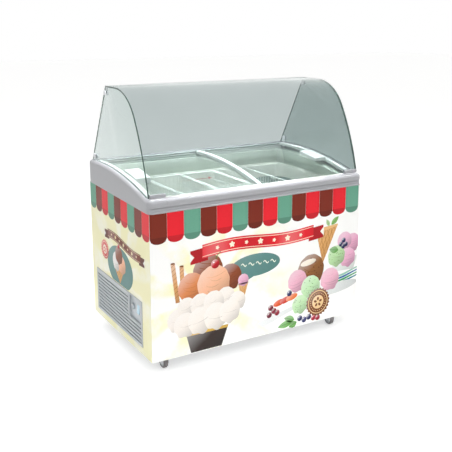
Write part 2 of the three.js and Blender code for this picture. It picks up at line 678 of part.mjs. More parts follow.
function addCanopy() {
  const shell = outline([...canopyCurve(0, CANOPY_REAR_Y), ...canopyCurve(GLASS, CANOPY_REAR_Y).reverse()]);
  addMesh(
    cabinet,
    'canopy_front_glass',
    alongX(shell, -CANOPY_HALF_WIDTH, CANOPY_HALF_WIDTH),
    materials.glass,
  );

  const inside = canopyCurve(GLASS + SEAT, CANOPY_REAR_Y);
  const foot = inside[inside.length - 1];
  const points = [...inside, [foot[0], RIM_TOP_Z + SEAT]];
  const steps = 12;
  for (let i = 0; i <= steps; i += 1) {
    const point = crestAt(CREST_FLAT_Y + ((SIDE_GLASS_REAR_Y - CREST_FLAT_Y) * i) / steps, SEAT);
    points.push([point.x, point.y]);
  }
  const outerX = CANOPY_HALF_WIDTH;
  const innerX = CANOPY_HALF_WIDTH - GLASS;
  const holes = [TOP_CLAMP, REAR_CLAMP].map(({ y, z }) =>
    cylinderX(CLAMP_PIN_RADIUS + CLAMP_HOLE_GAP, -outerX - 1, -innerX + 1, y, z, 16),
  );
  const leftGlass = cut(alongX(outline(points), -outerX, -innerX), ...holes);
  addMesh(cabinet, 'canopy_left_glass', leftGlass, materials.glass);
  addMesh(cabinet, 'canopy_right_glass', mirrored(leftGlass), materials.glass);

  const pairs = { glass_shoe: shoe(), top_clamp: topClamp(), rear_clamp: rearClamp() };
  for (const [name, left] of Object.entries(pairs)) {
    addMesh(cabinet, `left_${name}`, left, materials.frame);
    addMesh(cabinet, `right_${name}`, mirrored(left), materials.frame);
  }
}

// Holds the front glass's lower corner on the front rim.
function shoe() {
  const x0 = -(CANOPY_HALF_WIDTH - GLASS) + SEAT;
  const footY = CANOPY_FOOT_Y;
  const floor = CANOPY_FOOT_Z - SEAT;
  const block = box(
    x0,
    x0 + SHOE_LENGTH,
    footY - SHOE_WALL,
    footY + GLASS + SHOE_WALL + 4,
    RIM_TOP_Z + SEAT,
    RIM_TOP_Z + SHOE_HEIGHT,
  );
  const lean = 1 / Math.tan(CANOPY_FOOT_SLOPE);
  const across = GLASS / Math.sin(CANOPY_FOOT_SLOPE);
  const rise = SHOE_HEIGHT * 2;
  const slot = outline([
    [footY - SEAT - 0.4, floor - 1.4],
    [footY + across + SEAT, floor - 1.4],
    [footY + across + SEAT + rise * lean, floor + rise],
    [footY - SEAT - 0.4 + rise * lean, floor + rise],
  ]);
  return cut(block, alongX(slot, x0 - 1, x0 + SHOE_LENGTH + 1));
}

// Two plates and a pin through the side glass.
function glassClamp({ y, z }) {
  const outerX = -CANOPY_HALF_WIDTH;
  const innerX = -CANOPY_HALF_WIDTH + GLASS;
  return [
    cylinderX(CLAMP_RADIUS, outerX - SEAT - CLAMP_PLATE, outerX - SEAT, y, z, 20),
    cylinderX(CLAMP_PIN_RADIUS, outerX - SEAT - 1, innerX + SEAT + 1, y, z, 16),
    cylinderX(CLAMP_RADIUS, innerX + SEAT, innerX + SEAT + CLAMP_PLATE, y, z, 20),
  ];
}

// Carries the flat top: a shelf under it grows from the inner plate.
function topClamp() {
  const x0 = -CANOPY_HALF_WIDTH + GLASS + SEAT;
  const under = CANOPY_HEIGHT - GLASS - SEAT;
  const { y, z } = TOP_CLAMP;
  const rearY = CANOPY_REAR_Y - 1;
  return join(
    ...glassClamp(TOP_CLAMP),
    box(x0, x0 + CLAMP_PLATE, y - 8, rearY, z, under),
    box(x0, x0 + 26, y - 22, rearY, under - 3, under),
  );
}

// Stands on the end frame's crest.
function rearClamp() {
  const { y, z } = REAR_CLAMP;
  const foot = crestAt(y, 0).y + 3 * SEAT;
  const innerX = -CANOPY_HALF_WIDTH + GLASS + SEAT;
  const cheek = box(innerX, innerX + CLAMP_PLATE, y - 9, y + 9, foot, z);
  return join(...glassClamp(REAR_CLAMP), cheek);
}

// ---------------------------------------------------------------- grille and controls

function addGrille() {
  const outerX = -PANEL_X - GRILLE_STAND;
  const flange = box(outerX, -PANEL_X - SEAT, GRILLE_Y0, GRILLE_Y1, GRILLE_Z0, GRILLE_Z1);
  const fit = GRILLE_FLANGE + SEAT;
  const plug = box(
    outerX + 1,
    -PANEL_X + GRILLE_DEPTH,
    GRILLE_Y0 + fit,
    GRILLE_Y1 - fit,
    GRILLE_Z0 + fit,
    GRILLE_Z1 - fit,
  );
  const margin = GRILLE_MARGIN;
  const slots = [];
  const count = Math.floor((GRILLE_Z1 - GRILLE_Z0 - 2 * margin) / SLAT_PITCH + 1 - SLOT_HEIGHT / SLAT_PITCH);
  for (let i = 0; i < count; i += 1) {
    const z0 = GRILLE_Z0 + margin + i * SLAT_PITCH;
    const beside = z0 + SLOT_HEIGHT > CONTROL_Z0 - 4;
    const y0 = beside ? CONTROL_Y1 + margin : GRILLE_Y0 + margin;
    slots.push(box(outerX - 1, 0, y0, GRILLE_Y1 - margin, z0, z0 + SLOT_HEIGHT));
  }
  const window = box(outerX - 1, 0, CONTROL_Y0, CONTROL_Y1, CONTROL_Z0, CONTROL_Z1);
  addMesh(cabinet, 'vent_grille', cut(join(flange, plug), window, ...slots), materials.grille);

  addControls(outerX + CONTROL_RECESS);
}

function addControls(faceX) {
  const plate = box(
    faceX,
    faceX + 3,
    CONTROL_Y0 + SEAT,
    CONTROL_Y1 - SEAT,
    CONTROL_Z0 + SEAT,
    CONTROL_Z1 - SEAT,
  );
  const middleZ = (CONTROL_Z0 + CONTROL_Z1) / 2 + 4;
  const knobY = CONTROL_Y1 - 28;
  const switchY = CONTROL_Y0 + 45;
  const shaftHole = cylinderX(3.6, faceX - 1, faceX + 4, knobY, middleZ, 16);
  const switchHole = box(
    faceX - 1,
    faceX + 4,
    switchY - SWITCH_WIDTH / 2 - 0.6,
    switchY + SWITCH_WIDTH / 2 + 0.6,
    middleZ - SWITCH_HEIGHT / 2 - 0.8,
    middleZ + SWITCH_HEIGHT / 2 + 0.8,
  );
  addMesh(cabinet, 'control_panel', cut(plate, shaftHole, switchHole), materials.control);

  const knob = addGroup(cabinet, faceX, knobY, middleZ);
  const cap = cylinderX(KNOB_RADIUS, -7, -SEAT, 0, 0, 24);
  const shaft = cylinderX(3, -1, 7, 0, 0, 16);
  const pointer = box(-8, -6, -1.5, 1.5, 2, KNOB_RADIUS - 1);
  addMesh(knob, 'thermostat_knob', join(cap, shaft, pointer), materials.black);

  // The rocker tips about a line through the panel's middle and rests with its upper end out.
  const rocker = addGroup(cabinet, faceX + 1.5, switchY, middleZ);
  rocker.rotation.y = rad(SWITCH_TILT);
  const half = SWITCH_HEIGHT / 2;
  const keySection = new THREE.Shape();
  keySection.moveTo(-3, -half);
  keySection.lineTo(0, -half);
  keySection.lineTo(4, -half / 2);
  keySection.lineTo(4, half / 2);
  keySection.lineTo(0, half);
  keySection.lineTo(-3, half);
  keySection.lineTo(-2, 0);
  addMesh(
    rocker,
    'power_switch',
    alongY(keySection, -SWITCH_WIDTH / 2, SWITCH_WIDTH / 2),
    materials.switch,
  );
}

// ---------------------------------------------------------------- machine space

const INLET = { x: MACHINE_X - 114, z: FLOOR_CLEARANCE + 70, radius: 14 };

function cylinderY(radius, x, y0, y1, z, sides = 20) {
  return new THREE.CylinderGeometry(radius, radius, y1 - y0, sides).translate(x, (y0 + y1) / 2, z);
}

function inletHole() {
  return cylinderY(INLET.radius + SEAT, INLET.x, PANEL_Y - SHEET - 1, PANEL_Y + 1, INLET.z);
}

function addMachine() {
  const floor = FLOOR_CLEARANCE + SHEET + SEAT;
  const grilleBack = -PANEL_X + GRILLE_DEPTH;

  const compressor = addGroup(cabinet, MACHINE_X - COMPRESSOR_RADIUS - 16, COMPRESSOR_Y, floor);
  const r = COMPRESSOR_RADIUS;
  const shell = turned([
    [0, 14],
    [r - 18, 14],
    [r, 34],
    [r, 70],
    [r + 3, 72],
    [r + 3, 76],
    [r, 78],
    [r, 120],
    [r - 24, 152],
    [0, 160],
  ]);
  const feet = [-1, 1].map((side) => box(-r, r, side * (r - 12) - 10, side * (r - 12) + 10, 8, 16));
  const studs = [-1, 1].flatMap((sx) =>
    [-1, 1].map((sy) => cylinderZ(7, sx * (r - 10), sy * (r - 12), 0, 9, 12)),
  );
  const stub = cylinderZ(6, 0, 0, 155, 172, 12);
  addMesh(compressor, 'compressor', join(shell, ...feet, ...studs, stub), materials.compressor);

  // The condenser stands behind the grille, with the fan's shroud at its back.
  const condenserX = grilleBack + 8;
  const condenserDepth = 42;
  const y0 = FAN_Y - 105;
  const y1 = FAN_Y + 105;
  const coreTop = FAN_Z + 100;
  const core = box(condenserX, condenserX + condenserDepth, y0, y1, floor, coreTop);
  const relief = 5;
  const finGaps = [];
  for (let y = y0 + 14; y < y1 - 14; y += 26) {
    finGaps.push(box(condenserX - 1, condenserX + relief, y, y + 14, floor + 12, coreTop - 12));
  }
  const header = cylinderZ(7, condenserX + condenserDepth / 2, y0 - 4, floor + 40, coreTop - 20, 12);
  addMesh(cabinet, 'condenser', join(cut(core, ...finGaps), header), materials.fins);

  const shroudX = condenserX + condenserDepth + SEAT;
  const shroudDepth = 34;
  const plate = box(shroudX, shroudX + shroudDepth, y0, y1, floor, coreTop);
  const throat = cylinderX(FAN_RADIUS + 4, shroudX - 1, shroudX + shroudDepth + 1, FAN_Y, FAN_Z, 28);
  const arms = [0, 1, 2].map((i) => {
    const arm = box(shroudX + shroudDepth - 3, shroudX + shroudDepth, -5, 5, 14, FAN_RADIUS + 8);
    return arm.rotateX((i * 2 * Math.PI) / 3).translate(0, FAN_Y, FAN_Z);
  });
  const hub = cut(
    cylinderX(20, shroudX + shroudDepth - 3, shroudX + shroudDepth, FAN_Y, FAN_Z, 20),
    cylinderX(6, shroudX, shroudX + shroudDepth + 1, FAN_Y, FAN_Z, 16),
  );
  addMesh(cabinet, 'fan_shroud', join(cut(plate, throat), ...arms, hub), materials.black);

  const motorX = shroudX + shroudDepth + SEAT;
  const can = cylinderX(26, motorX, motorX + 34, FAN_Y, FAN_Z, 20);
  const shaft = cylinderX(3, motorX - 20, motorX + 1, FAN_Y, FAN_Z, 12);
  addMesh(cabinet, 'fan_motor', join(can, shaft), materials.steel);

  const fan = addGroup(cabinet, motorX - 16, FAN_Y, FAN_Z);
  const bladeHub = cut(cylinderX(18, -8, 8, 0, 0, 20), cylinderX(3.3, -9, 9, 0, 0, 12));
  const blades = [];
  for (let i = 0; i < 5; i += 1) {
    const blade = new THREE.BoxGeometry(2, 40, FAN_RADIUS - 14).rotateZ(rad(24));
    blades.push(blade.translate(0, 0, 14 + (FAN_RADIUS - 14) / 2).rotateX((i * 2 * Math.PI) / 5));
  }
  const disc = cylinderX(FAN_RADIUS, -8, 8, 0, 0, 28);
  const swept = cut(keepInside(join(...blades), disc), cylinderX(10, -9, 9, 0, 0, 16));
  addMesh(fan, 'fan_blade', join(bladeHub, swept), materials.black);

  addPipe(compressor.position, floor + 172, condenserX + condenserDepth / 2, y0 - 4, coreTop - 20);

  const electrics = box(-PANEL_X + 24, -PANEL_X + 104, -INNER_Y + 12, -INNER_Y + 84, floor, floor + 100);
  addMesh(cabinet, 'electrical_box', electrics, materials.black);

  const inletFlange = cylinderY(INLET.radius + 5, INLET.x, PANEL_Y + SEAT, PANEL_Y + 4, INLET.z);
  const inletBody = cylinderY(INLET.radius, INLET.x, PANEL_Y - 22, PANEL_Y + 2, INLET.z);
  const inletBore = cylinderY(INLET.radius - 6, INLET.x, PANEL_Y - 12, PANEL_Y + 5, INLET.z);
  addMesh(cabinet, 'power_inlet', cut(join(inletFlange, inletBody), inletBore), materials.black);
}

// The discharge line, from the compressor's stub to the head of the condenser's header.
function addPipe(compressorPlace, startZ, endX, endY, endZ) {
  const gap = 2 * SEAT;
  const start = new THREE.Vector3(compressorPlace.x, compressorPlace.y, startZ + gap);
  const end = new THREE.Vector3(endX, endY, endZ + gap);
  const over = Math.max(start.z, end.z) + 24;
  const at = (share, z) =>
    new THREE.Vector3(start.x + share * (end.x - start.x), start.y + share * (end.y - start.y), z);
  const rise = [start, at(0, start.z + 8), at(0, over - 10), at(0.33, over)];
  const fall = [at(0.67, over), at(1, over - 10), at(1, end.z + 8), end];
  const route = new THREE.CatmullRomCurve3([...rise, ...fall], false, 'centripetal');
  const section = new THREE.Shape();
  section.absarc(0, 0, 4, 0, 2 * Math.PI, false);
  const pipe = new THREE.ExtrudeGeometry(section, {
    steps: 30,
    curveSegments: 4,
    bevelEnabled: false,
    extrudePath: route,
  });
  addMesh(cabinet, 'refrigerant_pipe', pipe, materials.copper);
}

// ---------------------------------------------------------------- casters

function addCasters() {
  const names = ['front_left', 'front_right', 'rear_left', 'rear_right'];
  names.forEach((name, i) => {
    const x = (i % 2 ? 1 : -1) * (HALF_WIDTH - CASTER_INSET_X);
    const y = (i < 2 ? -1 : 1) * (HALF_DEPTH - CASTER_INSET_Y);
    const caster = addGroup(cabinet, x, y, 0);
    addCaster(caster, name);
  });
}

function addCaster(caster, name) {
  const top = FLOOR_CLEARANCE - SEAT;
  const half = CASTER_PLATE / 2;
  const plate = box(-half, half, -half, half, top - 3, top);
  const race = cylinderZ(22, 0, 0, top - 8, top - 2, 24);
  addMesh(caster, `caster_plate_${name}`, join(plate, race), materials.zinc);

  // A flat of the wheel rests on the floor.
  const axleZ = WHEEL_RADIUS * Math.cos(Math.PI / WHEEL_SIDES);
  const crown = top - 8 - SEAT;
  const cheekX = WHEEL_WIDTH / 2 + 1;
  const cheek = outline([
    [-16, crown - 3],
    [16, crown - 3],
    [16, crown],
    [-16, crown],
  ]);
  const bridge = alongX(cheek, -cheekX - 3, cheekX + 3);
  const side = new THREE.Shape();
  side.moveTo(-14, crown);
  side.lineTo(-4, axleZ - 6);
  side.absarc(CASTER_TRAIL, axleZ, 9, Math.PI * 1.25, Math.PI * 2.1, false);
  side.lineTo(15, crown);
  const left = alongX(side, -cheekX - 3, -cheekX, { curveSegments: 3 });
  const right = alongX(side, cheekX, cheekX + 3, { curveSegments: 3 });
  const axle = cylinderX(AXLE_RADIUS, -cheekX - 4, cheekX + 4, CASTER_TRAIL, axleZ, 16);
  const disc = cylinderZ(20, 0, 0, crown - 3, crown, 24);
  addMesh(caster, `caster_fork_${name}`, join(bridge, left, right, axle, disc), materials.zinc);

  const wheel = addGroup(caster, 0, CASTER_TRAIL, axleZ);
  const bore = AXLE_RADIUS + 0.3;
  const face = WHEEL_WIDTH / 2;
  const ring = [
    [bore, -face],
    [WHEEL_RADIUS - 4, -face],
    [WHEEL_RADIUS, -face + 4],
    [WHEEL_RADIUS, face - 4],
    [WHEEL_RADIUS - 4, face],
    [bore, face],
    [bore, -face],
  ];
  const tyre = turned(ring, WHEEL_SIDES).rotateZ(Math.PI / WHEEL_SIDES).rotateY(Math.PI / 2);
  addMesh(wheel, `caster_wheel_${name}`, tyre, materials.tyre);
}

// ---------------------------------------------------------------- what the tank holds

function addContents() {
  const firstX = -TANK_LENGTH / 2 + BASKET_END_GAP + BASKET_WIDTH / 2;
  for (let i = 0; i < BASKET_COUNT; i += 1) {
    const basket = addGroup(cabinet, firstX + i * BASKET_PITCH, 0, LEDGE_Z + SEAT);
    addMesh(basket, `basket_${i + 1}`, basketGeometry(), materials.wire);
  }

  const storage = addGroup(cabinet, TUB_X, TUB_Y, TANK_FLOOR_Z + SEAT);
  addMesh(storage, 'storage_tub', tubGeometry(), materials.tub);
  const dipping = addGroup(cabinet, TUB_X, TUB_Y, TANK_FLOOR_Z + 2 * SEAT + TUB_HEIGHT);
  addMesh(dipping, 'dipping_tub', tubGeometry(), materials.tub);
  const lid = addGroup(dipping, 0, 0, TUB_HEIGHT + SEAT);
  const t = TUB_LID_THICKNESS;
  const profile = [
    [0, 0],
    [TUB_LID_RADIUS, 0],
    [TUB_LID_RADIUS, t - 2],
    [TUB_LID_RADIUS - 4, t],
    [10, t],
    [8, t + 6],
    [20, t + 10],
    [20, t + 14],
    [0, t + 15],
  ];
  addMesh(lid, 'tub_lid', turned(profile, 32), materials.tubLid);
}

function basketGeometry() {
  const halfX = BASKET_WIDTH / 2;
  const bodyY = TANK_WIDTH / 2 - 3;
  const rimY = TANK_WIDTH / 2 + BASKET_LEDGE;
  const rim = centredBox(halfX, rimY, 0, 4);
  const body = centredBox(halfX, bodyY, -BASKET_DEPTH, 1);
  const hollow = centredBox(halfX - BASKET_WALL, bodyY - BASKET_WALL, -BASKET_DEPTH + BASKET_WALL, 5);
  return cut(join(rim, body), hollow);
}

function tubGeometry() {
  const inside = TUB_RADIUS - TUB_WALL;
  const profile = [
    [0, 0],
    [TUB_RADIUS - 2, 0],
    [TUB_RADIUS, 2],
    [TUB_RADIUS, TUB_HEIGHT],
    [inside, TUB_HEIGHT],
    [inside, TUB_WALL],
    [0, TUB_WALL],
  ];
  return turned(profile, 32);
}

addBody();
addTank();
addFrame();
addLids();
addCanopy();
addGrille();
addMachine();
addCasters();
addContents();

export default cabinet;
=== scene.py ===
"""Ice cream dipping cabinet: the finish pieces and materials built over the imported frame.

Lengths inside the functions are in millimetres, in the frame's own axes:
X to the right, Y to the back, Z up. The helpers turn them into metres.
"""

import math
import random

import bmesh
import bpy
from mathutils import Matrix, Vector


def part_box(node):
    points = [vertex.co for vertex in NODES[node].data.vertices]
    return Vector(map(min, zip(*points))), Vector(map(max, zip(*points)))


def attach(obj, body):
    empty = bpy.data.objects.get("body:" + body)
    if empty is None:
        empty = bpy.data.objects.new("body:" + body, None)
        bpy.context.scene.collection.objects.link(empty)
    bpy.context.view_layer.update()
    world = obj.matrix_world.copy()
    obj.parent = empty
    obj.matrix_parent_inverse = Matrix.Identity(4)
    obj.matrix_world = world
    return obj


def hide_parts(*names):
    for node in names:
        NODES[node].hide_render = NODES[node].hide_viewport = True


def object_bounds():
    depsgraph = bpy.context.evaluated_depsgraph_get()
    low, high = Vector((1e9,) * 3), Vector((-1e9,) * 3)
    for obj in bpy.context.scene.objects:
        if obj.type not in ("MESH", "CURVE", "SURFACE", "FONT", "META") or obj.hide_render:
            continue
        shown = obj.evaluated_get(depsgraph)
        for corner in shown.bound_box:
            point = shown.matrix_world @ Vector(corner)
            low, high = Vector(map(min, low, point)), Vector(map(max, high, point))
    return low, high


bl_info = {
    "name": "Ice Cream Dipping Cabinet",
    "version": (1, 0, 0),
    "blender": (4, 5, 0),
    "location": "3D View > Sidebar > Cabinet",
    "description": "Builds the finish pieces of an ice cream dipping cabinet over its frame",
    "category": "Add Mesh",
}

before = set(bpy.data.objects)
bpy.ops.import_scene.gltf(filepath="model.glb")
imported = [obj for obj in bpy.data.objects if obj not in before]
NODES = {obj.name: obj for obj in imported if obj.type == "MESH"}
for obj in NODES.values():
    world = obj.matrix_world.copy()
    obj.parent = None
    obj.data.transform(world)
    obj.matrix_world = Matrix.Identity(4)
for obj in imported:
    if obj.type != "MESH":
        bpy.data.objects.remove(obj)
CAD_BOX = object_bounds()
MM = 0.001


# ---------------------------------------------------------------- colours and sizes


def linear(code):
    """An sRGB hex colour as linear red, green, blue and alpha."""
    parts = [int(code[i : i + 2], 16) / 255 for i in (0, 2, 4)]
    return (*(c / 12.92 if c <= 0.04045 else ((c + 0.055) / 1.055) ** 2.4 for c in parts), 1.0)


def tint(name, code, description):
    """A colour property with an sRGB hex default."""
    return bpy.props.FloatVectorProperty(
        name=name, description=description, subtype="COLOR", size=4, min=0, max=1,
        default=linear(code),
    )


def length(name, value, description):
    """A length property, stored in metres, with its default in millimetres."""
    return bpy.props.FloatProperty(
        name=name, description=description, default=value * MM, min=0, unit="LENGTH",
        subtype="DISTANCE",
    )


class CabinetSizes(bpy.types.PropertyGroup):
    """Sizes of the finish pieces."""

    groove_depth: length("Groove depth", 7, "Depth of the groove along the front rim")
    stripe_width: length("Stripe width", 80.8, "Width of one stripe of the printed awning")
    awning_foot: length("Awning foot", 605, "Height of the lowest point of the printed awning")
    slat_pitch: length("Slat pitch", 17, "Height from one louvre of the vent to the next")
    wire_thickness: length("Wire thickness", 3.2, "Diameter of the baskets' wires")
    basket_mesh: length("Basket mesh", 22, "Gap between the baskets' wires")
    glass_thickness: length("Glass thickness", 6, "Thickness of the canopy's glass")
    tank_corner: length("Tank corner", 22, "Radius of the tank's inner corners")


class CabinetColours(bpy.types.PropertyGroup):
    """Colours of the finish pieces."""

    stripe_red: tint("Stripe red", "E8222F", "Red stripes of the awning")
    stripe_brown: tint("Stripe brown", "7A2715", "Brown stripes of the awning")
    stripe_green: tint("Stripe green", "69A48C", "Green stripes of the awning")
    front_ground: tint("Front ground", "FDFDFB", "Ground of the front print")
    side_ground: tint("Side ground", "F7F3C6", "Ground of the side prints")
    rays: tint("Rays", "F9F6C6", "Pale rays behind the artwork")
    frame_grey: tint("Frame grey", "A5A6AA", "Moulded frame round the top")
    rail_white: tint("Rail white", "EEF3F1", "Rails and grips of the lids")
    liner_white: tint("Liner white", "F3F4EE", "Coated tank")
    collar_grey: tint("Collar grey", "CCD6CC", "Collar round the tank's mouth")
    grille_grey: tint("Grille grey", "B4B9BD", "Louvred vent")
    canopy_tint: tint("Canopy tint", "B9C3C3", "Light that the canopy glass lets through")
    glass_edge: tint("Glass edge", "2F5248", "Polished edges of the glass")
    tub_lid_green: tint("Tub lid green", "3B5452", "Lid of the dipping tub")


def sizes():
    return bpy.context.scene.cabinet_sizes


def colours():
    return bpy.context.scene.cabinet_colours


# ---------------------------------------------------------------- modelling helpers


def deselect():
    """Object mode with nothing selected."""
    if bpy.context.object and bpy.context.object.mode != "OBJECT":
        bpy.ops.object.mode_set(mode="OBJECT")
    bpy.ops.object.select_all(action="DESELECT")


def only(piece):
    """Selects one object and makes it the active one."""
    deselect()
    piece.select_set(True)
    bpy.context.view_layer.objects.active = piece


def named(name):
    """Names the object just added and puts its place into its mesh."""
    piece = bpy.context.object
    piece.name = piece.data.name = name
    bpy.ops.object.transform_apply(location=True, rotation=True, scale=True)
    return piece


def modify(piece, kind, **settings):
    """Adds a modifier and applies it."""
    only(piece)
    change = piece.modifiers.new(kind, kind)
    for key, value in settings.items():
        setattr(change, key, value)
    bpy.ops.object.modifier_apply(modifier=change.name)
    return piece


def smooth(piece, angle=35):
    only(piece)
    bpy.ops.object.shade_smooth_by_angle(angle=math.radians(angle))
    return piece


def ease(piece, width, segments=2, angle=30):
    """Rounds every edge sharper than angle."""
    modify(
        piece, "BEVEL", width=width * MM, segments=segments, limit_method="ANGLE",
        angle_limit=math.radians(angle),
    )
    return smooth(piece)


def pick(piece, wanted, kind="FACE"):
    """Edit mode with the faces or edges selected that wanted() takes by centre, in mm, and normal."""
    only(piece)
    bpy.ops.object.mode_set(mode="EDIT")
    bpy.ops.mesh.select_mode(type=kind)
    bpy.ops.mesh.select_all(action="DESELECT")
    form = bmesh.from_edit_mesh(piece.data)
    for part in form.faces if kind == "FACE" else form.edges:
        points = [v.co / MM for v in part.verts]
        middle = sum(points, Vector()) / len(points)
        along = part.normal if kind == "FACE" else (points[1] - points[0]).normalized()
        part.select_set(bool(wanted(middle, along)))
    bmesh.update_edit_mesh(piece.data)


def tidy_mesh(piece, flip=True):
    """Merges doubled points and turns the faces outwards."""
    only(piece)
    bpy.ops.object.mode_set(mode="EDIT")
    bpy.ops.mesh.select_all(action="SELECT")
    bpy.ops.mesh.remove_doubles(threshold=0.00001)
    if flip:
        bpy.ops.mesh.normals_make_consistent(inside=False)
    bpy.ops.object.mode_set(mode="OBJECT")
    return piece


def block(name, low, high):
    """A box between two corners, in mm."""
    deselect()
    low, high = Vector(low), Vector(high)
    bpy.ops.mesh.primitive_cube_add(size=1, location=(low + high) / 2 * MM, scale=(high - low) * MM)
    return named(name)


def skin(name, rows, caps=False, flip=True):
    """A grid whose points are moved onto rows of points, in mm; caps closes its open ends."""
    deselect()
    across = len(rows[0])
    bpy.ops.mesh.primitive_grid_add(x_subdivisions=across - 1, y_subdivisions=len(rows) - 1, size=1)
    piece = named(name)
    if len(piece.data.vertices) != across * len(rows):
        raise ValueError(f"{name}: the grid has {len(piece.data.vertices)} points")
    for i, vertex in enumerate(piece.data.vertices):
        vertex.co = Vector(rows[i // across][i % across]) * MM
    tidy_mesh(piece, flip=False)
    if caps:
        bpy.ops.object.mode_set(mode="EDIT")
        bpy.ops.mesh.select_all(action="SELECT")
        bpy.ops.mesh.fill_holes(sides=0)
        bpy.ops.object.mode_set(mode="OBJECT")
    if flip:
        tidy_mesh(piece)
    return piece


AXES = {
    "X": Matrix.Rotation(math.pi / 2, 4, "Y"),
    "Y": Matrix.Rotation(-math.pi / 2, 4, "X"),
    "Z": Matrix.Identity(4),
}


def turned(name, profile, centre, axis="Z", steps=48):
    """A closed profile of (radius, height) points, in mm, spun round an axis through centre."""
    deselect()
    bpy.ops.mesh.primitive_circle_add(vertices=len(profile), fill_type="NOTHING")
    piece = named(name)
    for vertex, (radius, height) in zip(piece.data.vertices, profile):
        vertex.co = Vector((radius, 0, height)) * MM
    bpy.ops.object.mode_set(mode="EDIT")
    bpy.ops.mesh.select_all(action="SELECT")
    bpy.ops.mesh.spin(steps=steps, angle=2 * math.pi, center=(0, 0, 0), axis=(0, 0, 1))
    bpy.ops.object.mode_set(mode="OBJECT")
    tidy_mesh(piece)
    piece.data.transform(Matrix.Translation(Vector(centre) * MM) @ AXES[axis])
    return piece


def wire(name, points, thickness, closed=False, resolution=1):
    """A round wire through points, in mm."""
    deselect()
    bpy.ops.curve.primitive_nurbs_path_add()
    path = bpy.context.object
    path.name = name
    path.data.splines.clear()
    run = path.data.splines.new("POLY")
    run.points.add(len(points) - 1)
    for point, place in zip(run.points, points):
        point.co = (*(Vector(place) * MM), 1)
    run.use_cyclic_u = closed
    path.data.bevel_depth = thickness / 2 * MM
    path.data.bevel_resolution = resolution
    path.data.use_fill_caps = True
    bpy.ops.object.convert(target="MESH")
    return named(name)


def filleted(points, radius, steps=4, closed=False):
    """The same route with its corners rounded."""
    points = [Vector(p) for p in points]
    route = []
    for i, corner in enumerate(points):
        if not closed and i in (0, len(points) - 1):
            route.append(corner)
            continue
        before = (points[i - 1] - corner).normalized()
        after = (points[(i + 1) % len(points)] - corner).normalized()
        start, end = corner + before * radius, corner + after * radius
        for k in range(steps + 1):
            t = k / steps
            route.append(start * (1 - t) ** 2 + corner * 2 * t * (1 - t) + end * t * t)
    return route


def copied(piece, name, move=(0, 0, 0), turn=None):
    """A copy with its own mesh, turned about the origin and then moved, in mm."""
    twin = piece.copy()
    twin.data = piece.data.copy()
    twin.name = twin.data.name = name
    bpy.context.scene.collection.objects.link(twin)
    twin.data.transform(Matrix.Translation(Vector(move) * MM) @ (turn or Matrix.Identity(4)))
    return twin


def mirrored(piece, name):
    """A copy for the cabinet's other side."""
    twin = copied(piece, name, turn=Matrix.Scale(-1, 4, (1, 0, 0)))
    twin.data.flip_normals()
    return twin


def joined(name, parts):
    """Several objects as one."""
    deselect()
    for part in parts:
        part.select_set(True)
    bpy.context.view_layer.objects.active = parts[0]
    bpy.ops.object.join()
    return named(name)


def from_cad(node, name, width=0.0, segments=2, flat=0.8):
    """A merged copy of a CAD node with its edges eased. It stands for that node."""
    source = NODES[node]
    piece = bpy.data.objects.new(name, source.data.copy())
    piece.data.name = name
    bpy.context.scene.collection.objects.link(piece)
    piece.data.materials.clear()
    only(piece)
    bpy.ops.mesh.customdata_custom_splitnormals_clear()
    bpy.ops.object.mode_set(mode="EDIT")
    bpy.ops.mesh.select_all(action="SELECT")
    bpy.ops.mesh.remove_doubles(threshold=0.00002)
    bpy.ops.mesh.dissolve_limited(angle_limit=math.radians(flat))
    bpy.ops.object.mode_set(mode="OBJECT")
    if width:
        ease(piece, width, segments)
    else:
        smooth(piece)
    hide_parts(node)
    return piece


def finished(piece, material, body="cabinet", stands_for=()):
    """Gives a piece its material, its body and the CAD nodes it stands for."""
    if material is not None:
        piece.data.materials.clear()
        piece.data.materials.append(material)
    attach(piece, body)
    for node in stands_for:
        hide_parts(node)
    return piece


def lets_light_by(pane):
    """Glass that neither shades nor tints what the lamps light behind it."""
    pane.visible_shadow = pane.visible_diffuse = False


def mid(node):
    """The middle of a CAD node's box, in mm."""
    low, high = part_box(node)
    return (low + high) / 2 / MM


def span(node):
    """The lowest and highest corners of a CAD node, in mm."""
    low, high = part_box(node)
    return low / MM, high / MM


# ---------------------------------------------------------------- the cabinet's lines

HALF_X, HALF_Y = (CAD_BOX[1][0] - CAD_BOX[0][0]) / 2 / MM, (CAD_BOX[1][1] - CAD_BOX[0][1]) / 2 / MM
RIM_LOW, RIM_HIGH = span("front_rim")
RIM_TOP = RIM_HIGH.z
FRAME_FOOT = RIM_LOW.z
FRAME_RISE = 14
CREST_Y, CREST_FLAT_Y, CREST_RISE = 200, -304, 69
CREST_RADIUS = ((CREST_Y - CREST_FLAT_Y) ** 2 + CREST_RISE**2) / (2 * CREST_RISE)
CREST_CENTRE = RIM_TOP + CREST_RISE - CREST_RADIUS


def crest(y, drop=0.0):
    """Height of the end frames' top line, or of a line that far below it."""
    if y <= CREST_FLAT_Y and not drop:
        return RIM_TOP
    return CREST_CENTRE + math.sqrt((CREST_RADIUS - drop) ** 2 - (y - CREST_Y) ** 2)


def frame_foot(y):
    """Height of the frame's lower edge."""
    return FRAME_FOOT + FRAME_RISE * (y + HALF_Y) / (2 * HALF_Y)


# ---------------------------------------------------------------- materials


